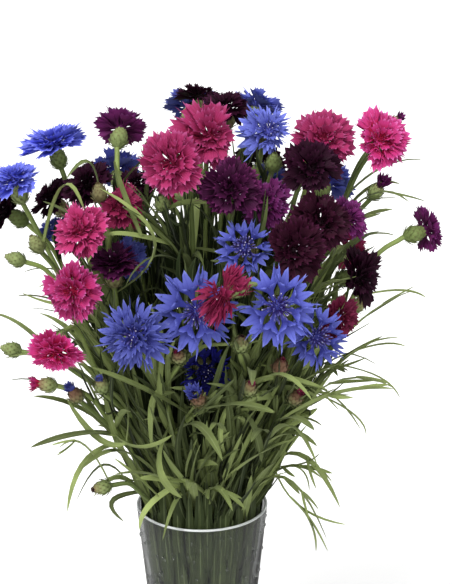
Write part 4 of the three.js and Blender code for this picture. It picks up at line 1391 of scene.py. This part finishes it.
def leafy_stem(owner):
    """The body of one leafy stem and the marks for the scales of its cups."""
    skin = Skin()
    markers = []
    own = [s for s in strands if s["owner"] == owner]
    for strand in own:
        path = curve_through(strand["points"], STALK_STEPS)
        t = np.linspace(0, 1, len(path))
        radii = STEM_RADIUS * (1 - 0.1 * np.sin(t * math.pi))
        if strand["kind"] != "main":
            radii[0] = FORK_RADIUS
        add_stalk(skin, path, radii, STALK_SIDES, looks.random())
        if strand["kind"] != "main":
            add_cup(skin, markers, strand)
    for leaf in (leaf for leaf in leaves if leaf["owner"] == owner):
        rib = midrib(leaf["root"], leaf["tip"], leaf["arch"], LEAF_ROWS)
        aside = unit(np.cross(leaf["tip"] - leaf["root"], UP))
        tone = SIDE_LEAF_TONE + SIDE_LEAF_TONE_RANGE * looks.random()
        add_leaf(skin, rib, aside, leaf["width"], drawn_twist(SIDE_TWIST), tone)
        at_front_right = leaf["tip"][0] > LOBED_BEYOND and leaf["tip"][1] < 0
        if at_front_right or looks.random() < LOBED_SHARE:
            length = length_of(leaf["tip"] - leaf["root"])
            add_lobes(skin, rib, aside, length, leaf["width"] * 1.2, tone, count=3)
    for layer in LEAF_LAYERS:
        add_leaf_layer(skin, own, layer)
    add_wall_leaves(skin, own)
    for _, rib, width, tone in (leaf for leaf in standouts if leaf[0] == owner):
        aside = unit(np.cross(rib[-1] - rib[0], UP))
        add_leaf(skin, rib, aside, width, drawn_twist(STANDOUT_TWIST, STANDOUT_TILT), tone)
    return skin.build(owner.replace("leafy_stem", "greenery"), markers)


looks = np.random.default_rng(11)
foliage = foliage_finish()
setting = set_pieces_tree()
scale = scale_piece()
owners = list(dict.fromkeys(s["owner"] for s in strands))
standouts = standout_leaves()
greenery = [leafy_stem(owner) for owner in owners]
set_pieces(greenery, First_Piece=scale, Tone_Spread=0.0, Material=foliage)
for piece, owner in zip(greenery, owners):
    fit(piece, "foliage", owner)

# The flower heads
# A head is one grown piece: a ring of wide ray florets, each a thin trumpet cut into pointed lobes,
# and inside it smaller rays or a tuft of violet disc florets with white pollen on their tips.
RAY_ROWS = ((0, 0.13), (0.18, 0.11), (0.32, 0.19), (0.45, 0.42), (0.57, 0.66))
RAY_FLATNESS = 0.34
RAY_DROOP = 0.14
RAY_ROLL = 24
UPPER_LIP_CUT = 0.5
UPPER_LIP_FOLD = 0.35
LOBE_TIPS = (1.0, 0.87, 1.06, 0.93, 1.0, 0.84, 0.96)
NOTCH_DEPTHS = (1.0, 0.84, 1.0, 0.95, 0.8, 1.0, 0.9)
SHOULDER_HEIGHT = 0.62
TIP_WIDTH = 1.05
SHOULDER_WIDTH = 0.98
DISC_ROWS = ((0, 0.5), (0.55, 0.5), (0.82, 1.0), (0.94, 0.8))
DISC_SIDES = 5
# Disc florets: half width, tone, how far the outermost lean out, how high up and how far out they stand
DISC_WIDTH = 0.55
DISC_TONE = 0.2
DISC_LEAN = 54
DISC_HEIGHT = 3.5
DISC_RADIUS = 2.2
GOLDEN_ANGLE = 2.39996
# Where an inner ring of rays stands on the core; each next one is 1 mm higher, and this much further in
RING_HEIGHT = 3
RING_RADIUS = 2.6
RING_STEP_IN = 0.6
# How florets vary: the lean of a ray and how much more every second one of a place leans, how a ring is
# scattered round the head, and the shares of their reach that inner rays and disc florets have
RAY_SWAY = 4
SECOND_LEAN = 7
RING_SCATTER = 0.12
INNER_REACH = (0.8, 1.12)
INNER_ROOM = 1.1
DISC_SWAY = 5
DISC_REACH = (0.8, 1.2)
# The reach of a main place without room, in radii of the head
CROWDED_REACH = 0.55
# The core that the florets grow from, as radii and heights, and the radius at which hanging florets leave it
CORE = ((3.3, 0), (4.2, 2), (3.2, 4.6), (1.4, 5.6))
CORE_SIDES = 12
CUP_MOUTH = 3.8
# Half-open double heads, with fewer and wider rays
LOOSE_HEADS = ("bloom_blue_17", "bloom_light_blue_34")
# How bright some heads are, partly their own colour and partly painted light and shade;
# the others lie between 0 and 0.5
HEAD_TONES_WITH_PAINTED_LIGHT = {
    "bloom_blue_01": 1.8, "bloom_blue_02": 1.8, "bloom_magenta_12": 1.1, "bloom_pink_15": 0.0,
    "bloom_pink_16": 1.0, "bloom_blue_17": -0.2, "bloom_crimson_25": -0.9, "bloom_purple_28": 0.5,
    "bloom_pink_32": 0.5,
}
PLAIN_TONES = 0.5
# Each form: the cut of its rays (how many lobes, how deep, whether they have shoulders), how many rays
# share a main place, half their width, their least and greatest reach, the count and reach of its disc
# florets, for every ring inside the main one its count, lean, sway, reach and half width, and how much the
# florets of an old head hang down
HEAD_LAYERS = {
    "single": {
        "cut": (9, 0.66, True), "split": 1, "half": 0.53, "reach": (0.92, 1.04), "disc": (40, 0.36),
        "rings": ((3, 44, 8, 0.45, 0.16),),
    },
    "double": {
        "cut": (8, 0.86, False), "split": 2, "half": 0.35, "reach": (0.8, 1.12), "disc": (12, 0.4),
        "rings": ((14, 16, 9, 0.97, 0.31), (12, 28, 10, 0.84, 0.31), (10, 44, 11, 0.66, 0.3),
                  (7, 64, 12, 0.52, 0.28)),
    },
    "loose": {
        "cut": (9, 0.66, True), "split": 1, "half": 0.54, "reach": (0.9, 1.12), "disc": (20, 0.34),
        "rings": ((9, 22, 9, 0.86, 0.48), (7, 46, 8, 0.64, 0.42)),
    },
    "narrow": {
        "cut": (4, 0.62, False), "split": 2, "half": 0.19, "reach": (0.88, 1.08), "disc": (6, 0.5),
        "rings": ((12, 56, 9, 1.35, 0.17), (10, 72, 8, 1.25, 0.16), (20, -64, 10, 1.05, 0.3),
                  (12, 4, 16, 0.8, 0.32)),
        "hang": 0.9,
    },
}
# The coloured parts of a petal, and each colour for them
PETAL_PARTS = ("Throat", "Lobe", "Edge", "Disc")
PETAL_COLOURS = {
    "blue": ("3c4092", "585fb0", "7c84cc", "3a2468"),
    "light_blue": ("4c50a6", "666fc2", "868ed6", "383078"),
    "navy": ("101050", "1c1c78", "2c2c90", "0e0a2c"),
    "magenta": ("821a3c", "982c5c", "b05488", "6a122c"),
    "pink": ("a41a42", "ae3070", "cc6eb0", "801434"),
    "crimson": ("741838", "8a244c", "a4446e", "5c0c26"),
    "purple": ("4a1440", "6c2460", "88488a", "2a0a2c"),
    "dusk": ("220519", "400f36", "742a62", "180412"),
    "wine": ("1a040f", "2c061a", "441232", "120209"),
    "maroon": ("16030e", "28061c", "3c0e30", "0e0209"),
}


def ray_pattern(lobes, notch, shoulders):
    """A trumpet floret: a thin tube that flares, flatter than wide, with its upper lip cut back."""
    step = 4 if shoulders else 2
    sides = step * lobes
    column = np.arange(sides)
    angles = 2 * np.pi * column / sides - np.pi / 2
    upper = np.maximum(0, np.sin(angles))
    reach = np.take(LOBE_TIPS, column // step, mode="wrap")
    notch = notch * np.take(NOTCH_DEPTHS, column // step, mode="wrap")
    is_tip, is_notch = column % step == 0, column % step == step // 2
    shoulder = notch + SHOULDER_HEIGHT * (reach - notch)
    rows = [(np.full(sides, z), np.full(sides, radius)) for z, radius in RAY_ROWS]
    outline = np.where(is_tip, reach, np.where(is_notch, notch, shoulder))
    rows.append((outline, np.where(is_tip, TIP_WIDTH, np.where(is_notch, 0.6 + 0.3 * notch, SHOULDER_WIDTH))))
    points, along, across = [], [], []
    for z, radius in rows:
        flare = np.clip((z - 0.4) / 0.6, 0, 1)
        radius = radius * (1 - UPPER_LIP_FOLD * flare * upper)
        height = z * (1 - flare * UPPER_LIP_CUT * upper)
        droop = -RAY_DROOP * flare**2
        points += zip(radius * np.cos(angles), radius * RAY_FLATNESS * np.sin(angles) + droop, height)
        along += list(z)
        across += list(np.cos(angles) * radius)
    faces = grid_faces(len(rows), sides)[:-1]
    return pattern(f"ray_pattern_{lobes}", points, faces, along=along, across=across, kind=1)


def disc_pattern():
    """A small tubular floret with its pointed tip of anthers."""
    angles = round_angles(DISC_SIDES)
    points = [(r * math.cos(a), r * math.sin(a), z) for z, r in DISC_ROWS for a in angles] + [(0, 0, 1)]
    faces = grid_faces(len(DISC_ROWS), DISC_SIDES, end_point=True)
    return pattern("disc_pattern", points, faces, along=[p[2] for p in points], across=0, kind=2)


def floret_mark(place, direction, axis, half, length, mark, tone):
    """Where a floret is set: its root, the way it points and lies, its half width and its length."""
    across = unit(np.cross(axis, direction))
    roll = math.radians(looks.normal(0, RAY_ROLL))
    rise = np.cross(direction, across) * math.cos(roll) + across * math.sin(roll)
    return {"place": place, "aim": direction, "rise": rise, "mark": mark, "tone": tone,
            "size": (half * MM, half * MM, length * MM)}


def build_head(head):
    """The core of a head and the marks of its florets."""
    across, beside, axis = head_axes(head["axis"])
    layers = HEAD_LAYERS["loose" if head["name"] in LOOSE_HEADS else head["form"]]
    foot = head["centre"] + axis * CLEARANCE
    radius = head["radius"]
    markers = []
    # A head's tone scales its petal colour; for some heads it is painted light and shade.
    tone = HEAD_TONES_WITH_PAINTED_LIGHT.get(head["name"], looks.random() * PLAIN_TONES)

    def way(angle, lean):
        outward = outward_at(across, beside, angle)
        ahead = axis - UP * layers.get("hang", 0)
        return unit(outward * math.cos(lean) + ahead * math.sin(lean)), outward

    outer = [f for f in head["florets"] if f["ring"] == 0]
    step = 2 * math.pi / len(outer)
    lengths = []
    for floret in outer:
        length = floret["length"] or radius * CROWDED_REACH
        lengths.append(length)
        for part in range(layers["split"]):
            angle = floret["angle"] + step * ((part + 0.5) / layers["split"] - 0.5)
            lean = floret["lean"] + math.radians(looks.normal(0, RAY_SWAY) + SECOND_LEAN * (part % 2))
            direction, _ = way(angle, lean)
            long = length * looks.uniform(*layers["reach"])
            markers.append(floret_mark(floret["root"], direction, axis, long * layers["half"], long, 1, tone))
    first = outer[0]["angle"]
    for ring, (count, lean, sway, share, half) in enumerate(layers["rings"]):
        for k in range(count):
            angle = first + 2 * math.pi * (k + 0.5 * ring + looks.normal(0, RING_SCATTER)) / count
            room_there = lengths[round((angle - first) / step) % len(outer)]
            long = min(room_there * INNER_ROOM, radius) * share * looks.uniform(*INNER_REACH)
            direction, outward = way(angle, math.radians(lean + looks.normal(0, sway)))
            place = foot + axis * (RING_HEIGHT + ring) + outward * (RING_RADIUS - RING_STEP_IN * ring)
            if lean < 0:
                place = foot + axis + outward * CUP_MOUTH
            markers.append(floret_mark(place, direction, axis, long * half, long, 1, tone))
    count, reach = layers["disc"]
    for k in range(count):
        share = math.sqrt((k + 0.5) / count)
        lean = math.radians(90 - DISC_LEAN * share + looks.normal(0, DISC_SWAY))
        direction, outward = way(k * GOLDEN_ANGLE, lean)
        place = foot + axis * DISC_HEIGHT + outward * DISC_RADIUS * share
        long = radius * reach * looks.uniform(*DISC_REACH)
        markers.append(floret_mark(place, direction, axis, DISC_WIDTH, long, 2, DISC_TONE))
    core = [foot + axis * height + outward_at(across, beside, angle) * ring_radius
            for ring_radius, height in CORE for angle in round_angles(CORE_SIDES)]
    skin = Skin()
    skin.add(core, grid_faces(len(CORE), CORE_SIDES), kind=0, tone=tone)
    head["lobes"] = layers["cut"][0]
    return skin.build(head["name"].replace("bloom", "cornflower"), markers)


def petal_group():
    """The finish of a petal: a darker veined throat, brighter lobes with a pale edge, and the disc."""
    group = bpy.data.node_groups.new("petal finish", "ShaderNodeTree")
    for name in PETAL_PARTS:
        group.interface.new_socket(name, in_out="INPUT", socket_type="NodeSocketColor")
    for name, kind in (("Color", "Color"), ("Roughness", "Float"), ("Normal", "Vector")):
        group.interface.new_socket(name, in_out="OUTPUT", socket_type=f"NodeSocket{kind}")

    def times(a, b):
        return math_node(group, "MULTIPLY", a, b)

    given = add_node(group, "NodeGroupInput").outputs
    throat, lobe, edge, middle = (given[name] for name in PETAL_PARTS)
    place = object_place(group)
    along, across, tone, kind = (attribute(group, name) for name in ("along", "across", "tone", "kind"))
    petal = mix(group, ramp(group, along, 0.35, 0.8), throat, lobe)
    petal = mix(group, ramp(group, along, 0.82, 1.0), petal, edge)
    veins = times(ramp(group, math_node(group, "SINE", times(across, 26.0)), 0.2, 1.0), 0.28)
    petal = mix(group, veins, petal, throat)
    petal = mix(group, 1.0, petal, remap(group, tone, (-1.2, 2.4), (0.24, 1.92)), "MULTIPLY")
    pollen = times(ramp(group, along, 0.9, 0.97), ramp(group, tone, 0.58, 0.66))
    disc = mix(group, times(ramp(group, along, 0.4, 0.9), 0.35), middle, edge)
    disc = mix(group, times(pollen, 0.6), disc, colour("e2dae6"))
    is_disc = math_node(group, "GREATER_THAN", kind, 1.5)
    is_petal = math_node(group, "GREATER_THAN", kind, 0.5)
    grain = noise(group, place, scale=700.0)
    height = math_node(group, "ADD", times(veins, -1.5), grain)
    feed(group, add_node(group, "NodeGroupOutput"),
         Color=mix(group, is_disc, mix(group, is_petal, throat, petal), disc),
         Roughness=remap(group, grain, (0.0, 1.0), (0.45, 0.75)),
         Normal=relief(group, height, strength=0.3, depth=0.0005))
    return group


def petal_finish(name, group):
    """One colour of petal, on the finish that all share."""
    material, tree, shader = new_material(f"petal_{name}", Specular_IOR_Level=0.12)
    finish = add_node(tree, "ShaderNodeGroup", node_tree=group)
    for socket, code in zip(PETAL_PARTS, PETAL_COLOURS[name]):
        finish.inputs[socket].default_value = colour(code)
    made = finish.outputs
    feed(tree, shader, Base_Color=made["Color"], Roughness=made["Roughness"], Normal=made["Normal"])
    return material


petals = petal_group()
disc = disc_pattern()
cuts = {form["cut"] for form in HEAD_LAYERS.values()}
rays = {cut[0]: ray_pattern(*cut) for cut in sorted(cuts)}
finishes = {name: petal_finish(name, petals) for name in PETAL_COLOURS}
pieces = [build_head(head) for head in heads]
for lobes, ray in rays.items():
    for name, finish in finishes.items():
        alike = [p for p, head in zip(pieces, heads) if head["lobes"] == lobes and head["colour"] == name]
        set_pieces(alike, First_Piece=ray, Second_Piece=disc, Tone_Spread=0.5, Material=finish)
for piece, head in zip(pieces, heads):
    fit(piece, f"petal_{head['colour']}", head["name"])

# Petals of the opening buds
# The first petals push out of an opening bud as a tight tuft, grown from inside its scales. They are the
# same thin coloured rays as on the heads, and those of one colour are one piece.
TUFT_RAYS = 14
TUFT_CUT = 4
TUFT_TONE = 0.1
TUFT_SUNK = 2
TUFT_SPREAD = 2.2
# How far the rays may lean out, their length and half width: when closed, and how much more when open
TUFT_LEAN = (8, 18)
TUFT_LENGTH = (3, 8)
TUFT_HALF = (1.3, 2.4)
tufts = {}
for strand in strands:
    opening = strand.get("opening", 0)
    if opening > 0:
        across, beside, axis = head_axes(strand["axis"])
        for k in range(TUFT_RAYS):
            lean = math.radians(90 - looks.uniform(0, TUFT_LEAN[0] + TUFT_LEAN[1] * opening))
            outward = outward_at(across, beside, GOLDEN_ANGLE * k)
            direction = outward * math.cos(lean) + axis * math.sin(lean)
            long = TUFT_LENGTH[0] + TUFT_LENGTH[1] * opening * looks.uniform(0.8, 1.1)
            root = strand["tip"] - axis * TUFT_SUNK + outward * TUFT_SPREAD * opening
            half = TUFT_HALF[0] + TUFT_HALF[1] * opening
            mark = floret_mark(root, direction, axis, half, long, 1, TUFT_TONE)
            tufts.setdefault(strand["colour"], []).append(mark)
for name, markers in tufts.items():
    tuft = Skin()
    tuft.points.append(np.zeros((0, 3)))
    piece = tuft.build(f"bud_petals_{name}", markers)
    ray, finish = rays[TUFT_CUT], finishes[name]
    set_pieces([piece], First_Piece=ray, Second_Piece=disc, Tone_Spread=0.4, Material=finish)
    fit(piece, f"petal_{name}")

for small in (scale, disc, *rays.values()):
    bpy.data.objects.remove(small)

# The room
# A plain pale floor, a soft even daylight from all round, and a broad soft key light from the upper left,
# with the camera a little above the bunch. None of it is part of the object.
CAMERA_TARGET = (16.5, 0, 302)
CAMERA_DISTANCE = 1000
CAMERA_HEIGHT_ANGLE = 17
LENS = 93.4
SENSOR_WIDTH = 36
FARTHEST_SEEN = 100
DAYLIGHT = 0.5
FLOOR_GLOW = 0.5
FLOOR_REACH = 20000
# The floor is darker in what the glass and the water mirror
FLOOR_COLOUR = (0.75, 0.75, 0.75, 1)
MIRRORED_FLOOR_COLOUR = (0.3, 0.3, 0.3, 1)
# Each lamp: azimuth and elevation in degrees, strength, and how soft its shadows are in degrees
LAMPS = (("key", -35, 52, 2.6, 25), ("fill", 60, 30, 0.6, 40), ("front", 5, 20, 0.7, 50))
scene = bpy.context.scene
scene.view_settings.view_transform = "Standard"

paper, tree, shader = new_material("paper floor", Roughness=0.9, Emission_Color=(1, 1, 1, 1))
path = add_node(tree, "ShaderNodeLightPath").outputs
glow = math_node(tree, "MULTIPLY", path["Is Camera Ray"], FLOOR_GLOW)
tone = mix(tree, path["Is Glossy Ray"], FLOOR_COLOUR, MIRRORED_FLOOR_COLOUR)
feed(tree, shader, Emission_Strength=glow, Base_Color=tone)
corners = [(x * FLOOR_REACH, y * FLOOR_REACH, 0) for x, y in ((-1, -1), (1, -1), (1, 1), (-1, 1))]
floor = mesh_object("floor", corners, [[0, 1, 2, 3]], paper)

world = bpy.data.worlds.new("daylight")
world.use_nodes = True
sky = world.node_tree.nodes["Background"]
sky.inputs["Color"].default_value = (1, 1, 1, 1)
path = add_node(world.node_tree, "ShaderNodeLightPath").outputs
clear = math_node(world.node_tree, "MAXIMUM", path["Is Camera Ray"], path["Is Transmission Ray"])
feed(world.node_tree, sky, Strength=remap(world.node_tree, clear, (0.0, 1.0), (DAYLIGHT, 1.0)))
scene.world = world

for name, azimuth, elevation, strength, angle in LAMPS:
    lamp = bpy.data.lights.new(name, "SUN")
    lamp.energy = strength
    lamp.angle = math.radians(angle)
    light = bpy.data.objects.new(name, lamp)
    light.rotation_euler = (math.radians(90 - elevation), 0, math.radians(azimuth))
    scene.collection.objects.link(light)

lens = bpy.data.cameras.new("camera")
lens.lens = LENS
lens.sensor_width = SENSOR_WIDTH
lens.clip_end = FARTHEST_SEEN
camera = bpy.data.objects.new("camera", lens)
camera.location = (np.array(CAMERA_TARGET) + facing(0, CAMERA_HEIGHT_ANGLE) * CAMERA_DISTANCE) * MM
camera.rotation_euler = (math.radians(90 - CAMERA_HEIGHT_ANGLE), 0, 0)
scene.collection.objects.link(camera)
scene.camera = camera
